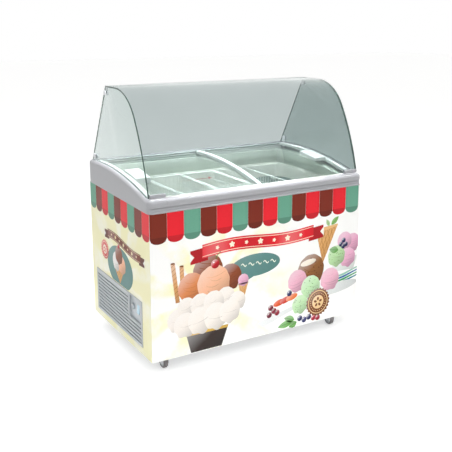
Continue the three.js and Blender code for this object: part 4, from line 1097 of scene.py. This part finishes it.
        dark = shade_of(linear(colour), -0.45)
        drop, fork = height * 0.22, height * 0.36
        for side in (-1, 1):
            edge = start if side < 0 else end
            tip = edge + side * height * 0.95
            strip(edge - side * height * 0.45, tip, -drop, lambda u, v: dark, layer)
            notch = corners(
                (tip + side * 3, middle(tip) - drop + fork), (tip + side * 3, middle(tip) - drop - fork),
                (tip - side * height * 0.3, middle(tip) - drop), steps=3,
            )
            self.shape(notch, plain("FCFBF3"), layer + 0.2, 2)
        base = linear(colour)

        def cloth(u, v):
            t = (u - start) / length
            return shade_of(base, 0.16 * math.sin(2 * math.pi * t * 1.5 + 0.5) - 0.05)

        strip(start, end, 0, cloth, layer + 0.5)
        for side in (-1, 1):
            across = [start + length * t for t in arc_steps(24)]
            route = [(u, middle(u) + side * height * 0.37) for u in across]
            self.line(route, height * 0.045, plain(piping), layer + 0.8)
        for k in range(7):
            u = start + length * (k + 1) / 8
            size = height * (0.2 if k % 2 else 0.13)
            self.shape(oval((u, middle(u)), size, size, 0, 0.22, 5, 40), plain(piping), layer + 0.8, 2)

    def finish(self):
        return finished(joined(self.name, self.parts), finish("printed_vinyl_ink"))


class CABINET_OT_front_art(bpy.types.Operator):
    """Printed sundae, ribbon, speech oval and ice cream group on the front"""

    bl_idname = "cabinet.front_art"
    bl_label = "Front artwork"

    def execute(self, context):
        art = Picture("artwork_print_front", FRONT)
        # the sundae at the left, with two rolled wafers behind it
        for foot, tip in (((-440, 330), (-462, 512)), ((-414, 345), (-420, 494))):
            (u0, v0), (u1, v1) = foot, tip
            roll = corners((u0 - 10, v0), (u0 + 10, v0), (u1 + 10, v1), (u1 - 10, v1 - 4))
            art.shape(roll, lit("D9A066", (u0, v0 + 90), 90), 0.6)
            for k in range(9):
                t = (k + 0.5) / 9
                u, v = u0 + (u1 - u0) * t, v0 + (v1 - v0) * t
                art.line([(u - 10, v - 8), (u + 10, v + 6)], 3.2, plain("9A5F30"), 0.9)
            art.shape(oval((u1, v1 - 2), 10, 4), plain("7A4622"), 1.0, 2)
        cup = corners((-400, 168), (-190, 168), (-222, 83), (-378, 83))
        art.shape(cup, lit("2A1C17", (-300, 130), 90, 0.6, 0.25), 2)
        cup_rim = corners((-405, 178), (-186, 178), (-190, 164), (-401, 164))
        art.shape(cup_rim, lit("D9AE4A", (-300, 171), 110), 2.6)
        art.cone((-134, 356), (-82, 358), (-112, 256), 3.4)
        art.scoop((-108, 374), 28, "E3A9C4", 3.9, seed=31)
        art.scoop((-290, 452), 74, "8E4A2A", 1, seed=2)
        art.scoop((-178, 402), 60, "8A4526", 1.4, seed=3)
        art.scoop((-372, 388), 66, "D98650", 2, seed=4)
        art.scoop((-262, 388), 82, "F3B995", 3, seed=5)
        for i, (u, v, r) in enumerate((
            (-440, 250, 52), (-398, 300, 46), (-330, 302, 50), (-200, 310, 48), (-140, 282, 44),
            (-262, 300, 52),
            (-405, 222, 56), (-330, 228, 62), (-250, 232, 62), (-180, 240, 54),
        )):
            art.scoop((u, v), r, "F3ECE4", 4 + 0.2 * i, seed=10 + i, scrapes=1, deep=0.34)
        art.line([(-252, 482), (-246, 510), (-226, 528)], 4, plain("4A7A34"), 3.2)
        art.berry((-254, 474), 21, "C41E2A", 3.8)
        # the speech oval
        art.shape(corners((-75, 402), (-25, 392), (-105, 358)), plain("5B8884"), 1)
        art.shape(oval((-41, 433), 134, 53), lit("5B8884", (-41, 433), 130, 0.12, 0.08), 1.2, 4)
        for k in range(5):
            wave = [(-120 + 40 * k + 30 * t, 442 - 5 * k / 4 + 7 * math.sin(6.28 * t)) for t in arc_steps(8)]
            art.line(wave, 5, plain("E9EFE0"), 1.6)
        # the ribbon
        art.ribbon(-318, 285, lambda t: 540 + 4 * t, 62, "E2202C", "FBEFD8", 2)
        # the ice cream group at the right
        for k, ink in enumerate(("2D7F92", "3F9E62", "2F6FA0", "8CC6B0")):
            spoon = [(400, 246 + 12 * k), (480, 256 + 13 * k), (564, 276 + 14 * k)]
            art.line(spoon, 11, plain(ink), 1 + 0.1 * k)
        art.shape(oval((440, 232), 125, 26, 6), lit("DCE0DF", (440, 240), 120, 0.3, 0.3), 1.6)
        art.cone((300, 545), (432, 556), (345, 372), 1)
        art.leaf((392, 560), (436, 596), 26, "7FB55A", 2)
        art.leaf((380, 556), (362, 590), 20, "9CC87A", 2)
        art.scoop((528, 452), 46, "E7A9C6", 2, seed=41)
        art.scoop((478, 468), 44, "EBB7D0", 2.3, seed=42)
        dish = corners((380, 405), (560, 380), (540, 312), (420, 318))
        art.shape(dish, lit("E3E8E4", (470, 360), 90, 0.25, 0.3), 2.4)
        art.scoop((500, 380), 48, "E9AFCB", 2.9, seed=43)
        art.scoop((430, 398), 52, "B9DDA6", 3.2, "5E8E4C", seed=44)
        art.leaf((440, 425), (384, 436), 34, "5FA046", 4)
        for at in ((455, 452), (472, 470), (486, 448), (470, 440)):
            art.berry(at, 13, "2E3160", 4.2)
        art.scoop((275, 352), 78, "8C5A2E", 2.6, "5B3716", seed=45)
        art.shape(oval((258, 392), 46, 15, 8), lit("F6EEDF", (258, 392), 45), 3.4)
        art.scoop((196, 312), 54, "E8AFC4", 3.6, seed=46)
        art.scoop((392, 286), 56, "EDB5C9", 3.6, seed=47)
        art.scoop((275, 268), 56, "BFE3B4", 4.2, "6F9E66", seed=48)
        art.scoop((214, 190), 46, "BCE0B0", 4.4, "5D8A54", seed=49)
        tray = corners((-28, 146), (170, 190), (180, 172), (0, 118))
        art.shape(tray, lit("E6E9E8", (80, 160), 110, 0.2, 0.4), 1)
        for k, ink in enumerate(("D9572B", "C93A26", "E0742F")):
            wedge = oval((92 + 36 * k, 222 + 7 * k), 34, 15, 14)
            art.shape(wedge, lit(ink, (92 + 36 * k, 224), 30), 2 + 0.3 * k, 3)
        for at, ink in (
            ((44, 206), "7A1B33"), ((62, 188), "8E2138"), ((36, 172), "6E1A30"), ((80, 176), "9A2A3C"),
            ((150, 258), "2E3160"),
        ):
            art.berry(at, 15, ink, 3)
        for base, tip in (((172, 112), (86, 98)), ((182, 118), (122, 138)), ((196, 104), (150, 86))):
            art.leaf(base, tip, 34, "5FA046", 2.4)
        for at, ink in (
            ((214, 118), "2E3160"), ((240, 106), "3A3F74"), ((268, 114), "2E3160"), ((296, 104), "B3213A"),
            ((322, 100), "A51D36"),
        ):
            art.berry(at, 15, ink, 3)
        art.seal((322, 180), 69, "7B4220", "EBCB96", 6)
        art.finish()
        return {"FINISHED"}


class CABINET_OT_side_art(bpy.types.Operator):
    """Printed ribbon, badge and cone on the left side, and the same on the right side"""

    bl_idname = "cabinet.side_art"
    bl_label = "Side artwork"

    def execute(self, context):
        for name, sheet in (("artwork_print_left", LEFT), ("artwork_print_right", RIGHT)):
            art = Picture(name, sheet)
            around = [(u, max(v, 331)) for u, v in oval((10, 410), 150, 100)]
            art.shape(around, lit("5B8884", (10, 410), 140, 0.15, 0.1), 1, 5, (10, 400))
            art.cone((-62, 408), (58, 408), (10, 334), 2)
            art.scoop((-30, 432), 44, "F1EDEA", 2.9, seed=61)
            art.scoop((36, 430), 42, "F3B995", 3.2, seed=62)
            art.scoop((2, 470), 42, "8E4A2A", 3.6, seed=63)
            art.berry((2, 512), 13, "C41E2A", 4.4)
            art.ribbon(-128, 250, lambda t: 545 - 26 * t, 40, "7A2E16", "F3E3B8", 5)
            art.seal((-172, 451), 46, "DD2A33", "F8E9D6", 6)
            art.finish()
        return {"FINISHED"}


# ---------------------------------------------------------------- canopy


def canopy_line():
    """(y, z) points of the canopy's outer face: a shallow arc, a tight one and a flat top."""
    top_y, top_z, top_r = -0.9, 1005.0, 230.0
    low_y, low_z, low_r = 798.4, 543.5, 1153.0
    back = 124.8
    line = []
    for t in arc_steps(12):
        a = math.radians(77 - 17 * t)
        line.append((low_y - low_r * math.sin(a), low_z + low_r * math.cos(a)))
    for t in arc_steps(24)[1:]:
        a = math.radians(60 * (1 - t))
        line.append((top_y - top_r * math.sin(a), top_z + top_r * math.cos(a)))
    return line + [(60, top_z + top_r), (back, top_z + top_r)]


def edged(piece, edge, is_face):
    """Gives every face that is_face() refuses the polished edge's material."""
    piece.data.materials.append(edge)
    for face in piece.data.polygons:
        if not is_face(face.normal, face.center / MM):
            face.material_index = 1
    return piece


class CABINET_OT_canopy(bpy.types.Operator):
    """Bent front glass, side glasses, and the shoes and clamps that hold them"""

    bl_idname = "cabinet.canopy"
    bl_label = "Canopy"

    def execute(self, context):
        thick = sizes().glass_thickness
        edge = finish("polished_glass_edge")
        rows = [[(x, y, z) for x in (-557.8, -280, 0, 280, 557.8)] for y, z in canopy_line()]
        front = skin("canopy_front_sheet", rows, flip=False)
        if front.data.polygons[0].normal.y > 0:
            front.data.flip_normals()
        front.data.materials.append(finish("bent_float_glass"))
        front.data.materials.append(edge)
        modify(front, "SOLIDIFY", thickness=thick, offset=-1, material_offset_rim=1)
        modify(front, "BEVEL", width=0.7 * MM, segments=2, limit_method="ANGLE", angle_limit=math.radians(50))
        smooth(front, 40)
        lets_light_by(front)
        finished(front, None, stands_for=["canopy_front_glass"])
        for side in ("left", "right"):
            pane = from_cad(f"canopy_{side}_glass", f"canopy_{side}_sheet", 0.7, 2)
            pane.data.materials.append(finish("flat_float_glass"))
            edged(pane, edge, lambda normal, at: abs(normal.x) > 0.98)
            lets_light_by(pane)
            finished(pane, None)
            shoe = from_cad(f"{side}_glass_shoe", f"{side}_shoe", 1.6, 3)
            finished(shoe, finish("moulded_abs_frame"))
            for place in ("top", "rear"):
                clamp = from_cad(f"{side}_{place}_clamp", f"{side}_{place}_button", 0.8, 3)
                finished(clamp, finish("zinc_plated_steel"))
        return {"FINISHED"}


# ---------------------------------------------------------------- lids


# the glass's thickness, and how far each lid's groove lies below the end frames' top line
LID_GLASS = 4
LID_DROP = {"left": 22, "right": 10}


class CABINET_OT_lids(bpy.types.Operator):
    """Sliding glass lids with their grip rails and inner rails"""

    bl_idname = "cabinet.lids"
    bl_label = "Lids"

    def execute(self, context):
        for side in ("left", "right"):
            low, high = span(f"{side}_lid_glass")
            drop = LID_DROP[side]
            ys = [low.y + (high.y - low.y) * t for t in arc_steps(28)]
            rows = [[(x, y, crest(y, drop)) for x in (low.x, low.x * 0.5 + high.x * 0.5, high.x)] for y in ys]
            pane = skin(f"{side}_lid_sheet", rows, flip=False)
            if pane.data.polygons[0].normal.z < 0:
                pane.data.flip_normals()
            pane.data.materials.append(finish("bent_lid_glass"))
            pane.data.materials.append(finish("lid_glass_edge"))
            modify(pane, "SOLIDIFY", thickness=LID_GLASS * MM, offset=-1, material_offset_rim=1)
            smooth(pane, 40)
            lets_light_by(pane)
            finished(pane, None, f"{side}_lid", [f"{side}_lid_glass"])
            for part, width in (("grip_rail", 1.8), ("inner_rail", 1.4)):
                rail = from_cad(f"{side}_lid_{part}", f"{side}_{part}", width, 3)
                finished(rail, finish("extruded_pvc_rail"), f"{side}_lid")
        return {"FINISHED"}


# ---------------------------------------------------------------- tank


class CABINET_OT_tank(bpy.types.Operator):
    """Coated tank with its stepped floor and load line, the collar, the tracks and the foam"""

    bl_idname = "cabinet.tank"
    bl_label = "Tank"

    def execute(self, context):
        top = span("inner_liner")[1].z
        floor, step, ledge = 185.0, 407.0, 748.0
        half_x, half_y, step_x = 500, 280, -264
        tank = block("tank", (step_x, -half_y, floor), (half_x, half_y, ledge))
        pick(tank, lambda at, normal: True)
        bpy.ops.mesh.bisect(plane_co=(0, 0, step * MM), plane_no=(0, 0, 1))
        bpy.ops.object.mode_set(mode="OBJECT")
        pick(tank, lambda at, normal: normal.x < -0.9 and at.z > step)
        bpy.ops.mesh.extrude_region_move(TRANSFORM_OT_translate={"value": (-(half_x + step_x) * MM, 0, 0)})
        bpy.ops.object.mode_set(mode="OBJECT")
        pick(tank, lambda at, normal: normal.z > 0.9 and at.z > ledge - 1)
        bpy.ops.mesh.delete(type="FACE")
        bpy.ops.object.mode_set(mode="OBJECT")
        modify(
            tank, "BEVEL", width=sizes().tank_corner, segments=4, limit_method="ANGLE",
            angle_limit=math.radians(40),
        )
        tank.data.flip_normals()
        for shift, rise in (((2, 10), 0), ((0, 0), top - ledge), ((8, 9), 0)):
            only(tank)
            bpy.ops.object.mode_set(mode="EDIT")
            bpy.ops.mesh.select_mode(type="EDGE")
            bpy.ops.mesh.select_all(action="DESELECT")
            bpy.ops.mesh.select_non_manifold(extend=False)
            bpy.ops.mesh.extrude_region_move(TRANSFORM_OT_translate={"value": (0, 0, rise * MM)})
            form = bmesh.from_edit_mesh(tank.data)
            for v in form.verts:
                if v.select:
                    v.co.x += math.copysign(shift[0] * MM, v.co.x)
                    v.co.y += math.copysign(shift[1] * MM, v.co.y)
            bmesh.update_edit_mesh(tank.data)
            bpy.ops.object.mode_set(mode="OBJECT")
        modify(tank, "SOLIDIFY", thickness=1.6 * MM, offset=-1)
        smooth(tank, 40)
        finished(tank, finish("coated_aluminium_liner"), stands_for=["inner_liner"])
        collar = from_cad("throat_collar", "mouth_collar", 1.6, 3)
        finished(collar, finish("moulded_abs_collar"))
        for side in ("front", "rear"):
            track = from_cad(f"{side}_track", f"{side}_lid_track", 0.5, 2)
            finished(track, finish("anodised_aluminium_track"))
        mark = Picture("load_line_print", TANK_REAR)
        red = plain("D8434E")
        mark.shape(corners((-78, 713.5), (66, 713.5), (66, 710.5), (-78, 710.5)), red, 1, 1)
        mark.shape(corners((-100, 712), (-76, 719), (-76, 705)), red, 1.2, 1)
        mark.shape(corners((88, 712), (64, 705), (64, 719)), red, 1.2, 1)
        mark.finish()
        NODES["foam_insulation"].data.materials.clear()
        NODES["foam_insulation"].data.materials.append(finish("foamed_polyurethane"))
        return {"FINISHED"}


# ---------------------------------------------------------------- baskets and tubs


def basket_wires(name):
    """One hanging basket at the middle of the tank: rims, hooks and the U-shaped wires between."""
    low, high = span("basket_1")
    half_x, half_y = (high.x - low.x) / 2, 275.0
    top, foot = high.z, low.z
    thick = sizes().wire_thickness / MM
    gap = sizes().basket_mesh / MM
    heavy = thick * 2

    def loop(x, y, z):
        return filleted([(-x, -y, z), (x, -y, z), (x, y, z), (-x, y, z)], 16, 4, True)

    rim_x, rim_y = half_x - heavy / 2 - 0.5, half_y - heavy / 2
    parts = [wire(f"{name}_rim", loop(rim_x, rim_y, top - heavy / 2 - 1), heavy, True, 2)]
    parts.append(wire(f"{name}_foot", loop(rim_x - 2, rim_y - 2, foot + heavy / 2), heavy * 0.8, True, 2))
    parts.append(wire(f"{name}_waist", loop(rim_x - 1, rim_y - 1, (top + foot) / 2), thick, True))
    deep = foot + thick
    across = [(-rim_x, 0, top - 3), (-rim_x + 3, 0, deep), (rim_x - 3, 0, deep), (rim_x, 0, top - 3)]
    hoop = wire(f"{name}_hoop", filleted(across, 8, 2), thick, False, 1)
    count = int(2 * (half_y - 14) / gap)
    for i in range(count + 1):
        parts.append(copied(hoop, f"{name}_hoop_{i}", (0, -half_y + 14 + (2 * half_y - 28) * i / count, 0)))
    deep = foot + thick * 2
    along = [(0, -rim_y, top - 3), (0, -rim_y + 3, deep), (0, rim_y - 3, deep), (0, rim_y, top - 3)]
    rib = wire(f"{name}_rib", filleted(along, 8, 2), thick, False, 1)
    count = int(2 * (half_x - 14) / gap)
    for i in range(count + 1):
        parts.append(copied(rib, f"{name}_rib_{i}", (-half_x + 14 + (2 * half_x - 28) * i / count, 0, 0)))
    for seed in (hoop, rib):
        bpy.data.objects.remove(seed)
    for end in (-1, 1):
        y0, y1 = end * rim_y, end * (high.y - 0.5)
        for x in (-half_x * 0.6, half_x * 0.6):
            lip = y1 - end * 3
            hook = [
                (x - 14, y0, top - 3), (x - 14, lip, top - 2.2), (x + 14, lip, top - 2.2),
                (x + 14, y0, top - 3),
            ]
            parts.append(wire(f"{name}_hook", filleted(hook, 5, 3), 3.8, False, 1))
    return smooth(joined(name, parts), 60)


class CABINET_OT_baskets(bpy.types.Operator):
    """Hanging baskets of vinyl dipped wire"""

    bl_idname = "cabinet.baskets"
    bl_label = "Baskets"

    def execute(self, context):
        seed = basket_wires("basket_seed")
        for i in range(1, 5):
            name = f"basket_{i}"
            basket = copied(seed, f"wire_{name}", (mid(name).x, 0, 0))
            finished(basket, finish("vinyl_dipped_wire"), name, [name])
        bpy.data.objects.remove(seed)
        return {"FINISHED"}


def tub_profile(low, high, radius, wall=3):
    """Closed section of a round tub with a rolled rim and a footing ring."""
    deep = high - low
    points = [(0, wall), (radius - 14, wall), (radius - wall - 4, wall + 3), (radius - wall - 1, wall + 12)]
    points += [(radius - wall, deep - 9), (radius - wall, deep - 2), (radius - wall + 0.8, deep)]
    points += [(radius - 0.6, deep), (radius, deep - 1.5), (radius, deep - 7), (radius - 1.2, deep - 9)]
    points += [(radius - 1.2, 10), (radius - 3, 3), (radius - 9, 0), (radius - 14, 0), (radius - 16, 1.2)]
    points.append((0, 1.2))
    return [(r, low + h) for r, h in points]


class CABINET_OT_tubs(bpy.types.Operator):
    """Stacked tubs at the right, with the dark lid and its knob"""

    bl_idname = "cabinet.tubs"
    bl_label = "Tubs"

    def execute(self, context):
        for node, body in (("storage_tub", "cabinet"), ("dipping_tub", "dipping_tub")):
            low, high = span(node)
            at = mid(node)
            tub = turned(
                f"round_{node}", tub_profile(low.z, high.z, (high.x - low.x) / 2), (at.x, at.y, 0), steps=64
            )
            finished(smooth(tub, 50), finish("moulded_polypropylene_tub"), body, [node])
        low, high = span("tub_lid")
        at = mid("tub_lid")
        r, z = (high.x - low.x) / 2, low.z
        plate = [(0, 0), (r - 3, 0), (r - 0.5, 0.6), (r, 2), (r, 5), (r - 1, 6.6), (r - 4, 7)]
        plate += [(r - 9, 6.6), (r - 12, 5.2), (60, 5.0), (56, 6.4), (50, 6.4), (46, 5.0)]
        plate += [(30, 5.0), (27, 7), (0, 7)]
        lid = turned("dark_tub_lid", [(a, z + b) for a, b in plate], (at.x, at.y, 0), steps=64)
        finished(smooth(lid, 30), finish("moulded_polypropylene_lid"), "tub_lid", ["tub_lid"])
        knob = [(0, 6), (14, 6), (12, 9), (11, 13), (13, 16), (18, 18), (20, 20)]
        knob += [(19.6, 21.4), (15, 22.3), (0, 22.4)]
        pull = turned("tub_lid_pull", [(a, z + b) for a, b in knob], (at.x, at.y, 0), steps=40)
        finished(smooth(pull, 40), finish("moulded_polypropylene_knob"), "tub_lid")
        return {"FINISHED"}


# ---------------------------------------------------------------- vent and controls


class CABINET_OT_vent(bpy.types.Operator):
    """Louvred vent on the left side, round the control panel"""

    bl_idname = "cabinet.vent"
    bl_label = "Vent"

    def execute(self, context):
        grey = finish("moulded_abs_grille")
        low, high = span("vent_grille")
        panel_low, panel_high = span("control_panel")
        border = from_cad("vent_grille", "vent_surround", 1.0, 2)
        finished(border, grey)
        pitch = sizes().slat_pitch / MM
        border_width, slat_height, slat_lean = 13, 18, math.radians(-24)
        parts = []
        y1 = high.y - border_width
        z = low.z + 16
        i = 0
        while z < high.z - 12:
            y0 = (panel_high.y if z > panel_low.z - 6 else low.y) + border_width
            slat = block(f"slat_{i}", (0, y0, -slat_height / 2), (1.8, y1, slat_height / 2))
            ease(slat, 0.6, 2)
            slat.data.transform(Matrix.Rotation(slat_lean, 4, "Y"))
            slat.data.transform(Matrix.Translation(Vector((low.x + 5.2, 0, z)) * MM))
            parts.append(slat)
            z += pitch
            i += 1
        louvres = joined("vent_louvres", parts)
        finished(smooth(louvres), grey)
        return {"FINISHED"}


class CABINET_OT_controls(bpy.types.Operator):
    """Control panel with its thermostat knob and rocker switch"""

    bl_idname = "cabinet.controls"
    bl_label = "Controls"

    def execute(self, context):
        plate = from_cad("control_panel", "control_plate", 0.8, 2)
        finished(plate, finish("moulded_abs_control"))
        knob = from_cad("thermostat_knob", "thermostat_dial", 0.5, 2)
        finished(knob, finish("moulded_abs_dial"), "knob")
        rocker = from_cad("power_switch", "rocker", 1.2, 3)
        finished(rocker, finish("moulded_pc_switch"), "switch")
        return {"FINISHED"}


# ---------------------------------------------------------------- machine and casters


class CABINET_OT_machine(bpy.types.Operator):
    """Compressor, condenser, fan, pipe, electrical box and inlet in the machine space"""

    bl_idname = "cabinet.machine"
    bl_label = "Machine"

    def execute(self, context):
        for node, name, key, body, slot, width in (
            ("condenser", "condenser_core", "rolled_aluminium_fins", "cabinet", "fins", 0.8),
            ("fan_shroud", "fan_cowl", "galvanised_steel", "cabinet", "steel", 1.0),
            ("fan_motor", "fan_motor_can", "stoved_enamel_black", "cabinet", "black_plastic", 1.2),
            ("fan_blade", "fan_rotor", "rolled_aluminium_fins", "fan", "fins", 0.4),
            ("refrigerant_pipe", "copper_pipe", "drawn_copper_tube", "cabinet", "copper", 0.0),
            ("electrical_box", "terminal_box", "moulded_abs_black", "cabinet", "black_plastic", 2.0),
            ("power_inlet", "mains_inlet", "moulded_abs_black", "cabinet", "black_plastic", 0.8),
            ("compressor", "compressor_shell", "stoved_enamel_black", "cabinet", "compressor", 2.0),
        ):
            piece = from_cad(node, name, width, 2)
            finished(piece, finish(key), body)
        return {"FINISHED"}


class CABINET_OT_casters(bpy.types.Operator):
    """Swivel casters: plate, fork and wheel"""

    bl_idname = "cabinet.casters"
    bl_label = "Casters"

    def execute(self, context):
        for corner in ("front_left", "front_right", "rear_left", "rear_right"):
            plate = from_cad(f"caster_plate_{corner}", f"mounting_plate_{corner}", 0.8, 2)
            finished(plate, finish("zinc_plated_steel"), "cabinet")
            fork = from_cad(f"caster_fork_{corner}", f"swivel_fork_{corner}", 0.8, 2)
            finished(fork, finish("zinc_plated_steel"), f"caster_{corner}")
            at = mid(f"caster_wheel_{corner}")
            low, high = span(f"caster_wheel_{corner}")
            r, w = (high.z - low.z) / 2, (high.x - low.x) / 2
            tread = [(r - 7, -w + 1.5), (r - 4, -w), (r - 1.5, -w + 1.5), (r, -w + 5)]
            tread += [(r, w - 5), (r - 1.5, w - 1.5), (r - 4, w), (r - 7, w - 1.5)]
            tyre = turned(f"tyre_{corner}", tread, at, "X", 48)
            finished(
                smooth(tyre, 40), finish("moulded_rubber_tread"), f"wheel_{corner}",
                [f"caster_wheel_{corner}"],
            )
            core = [(r - 7.2, -w + 2), (r - 7.2, w - 2), (r - 10, w - 3), (12, w - 5)]
            core += [(10, w - 0.6), (5.4, w - 0.4)]
            core += [(5.4, -w + 0.4), (10, -w + 0.6), (12, -w + 5), (r - 10, -w + 3)]
            hub = turned(f"hub_{corner}", core, at, "X", 48)
            finished(smooth(hub, 35), finish("moulded_abs_grille"), f"wheel_{corner}")
        return {"FINISHED"}


# ---------------------------------------------------------------- the sidebar


class CABINET_PT_pieces(bpy.types.Panel):
    """Lists the cabinet's operators, sizes and colours"""

    bl_idname = "CABINET_PT_pieces"
    bl_label = "Dipping Cabinet"
    bl_space_type = "VIEW_3D"
    bl_region_type = "UI"
    bl_category = "Cabinet"

    def draw(self, context):
        for operator in OPERATORS:
            self.layout.operator(operator.bl_idname)
        for group in (context.scene.cabinet_sizes, context.scene.cabinet_colours):
            box = self.layout.box()
            for key in type(group).__annotations__:
                box.prop(group, key)


OPERATORS = (
    CABINET_OT_stage,
    CABINET_OT_frame,
    CABINET_OT_panels,
    CABINET_OT_front_art,
    CABINET_OT_side_art,
    CABINET_OT_canopy,
    CABINET_OT_lids,
    CABINET_OT_tank,
    CABINET_OT_baskets,
    CABINET_OT_tubs,
    CABINET_OT_vent,
    CABINET_OT_controls,
    CABINET_OT_machine,
    CABINET_OT_casters,
)
CLASSES = (CabinetSizes, CabinetColours, *OPERATORS, CABINET_PT_pieces)


def register():
    for cls in CLASSES:
        bpy.utils.register_class(cls)
    bpy.types.Scene.cabinet_sizes = bpy.props.PointerProperty(type=CabinetSizes)
    bpy.types.Scene.cabinet_colours = bpy.props.PointerProperty(type=CabinetColours)


def unregister():
    del bpy.types.Scene.cabinet_colours
    del bpy.types.Scene.cabinet_sizes
    for cls in reversed(CLASSES):
        bpy.utils.unregister_class(cls)


def main():
    register()
    for operator in OPERATORS:
        group, name = operator.bl_idname.split(".")
        getattr(getattr(bpy.ops, group), name)()


if __name__ == "__main__":
    main()
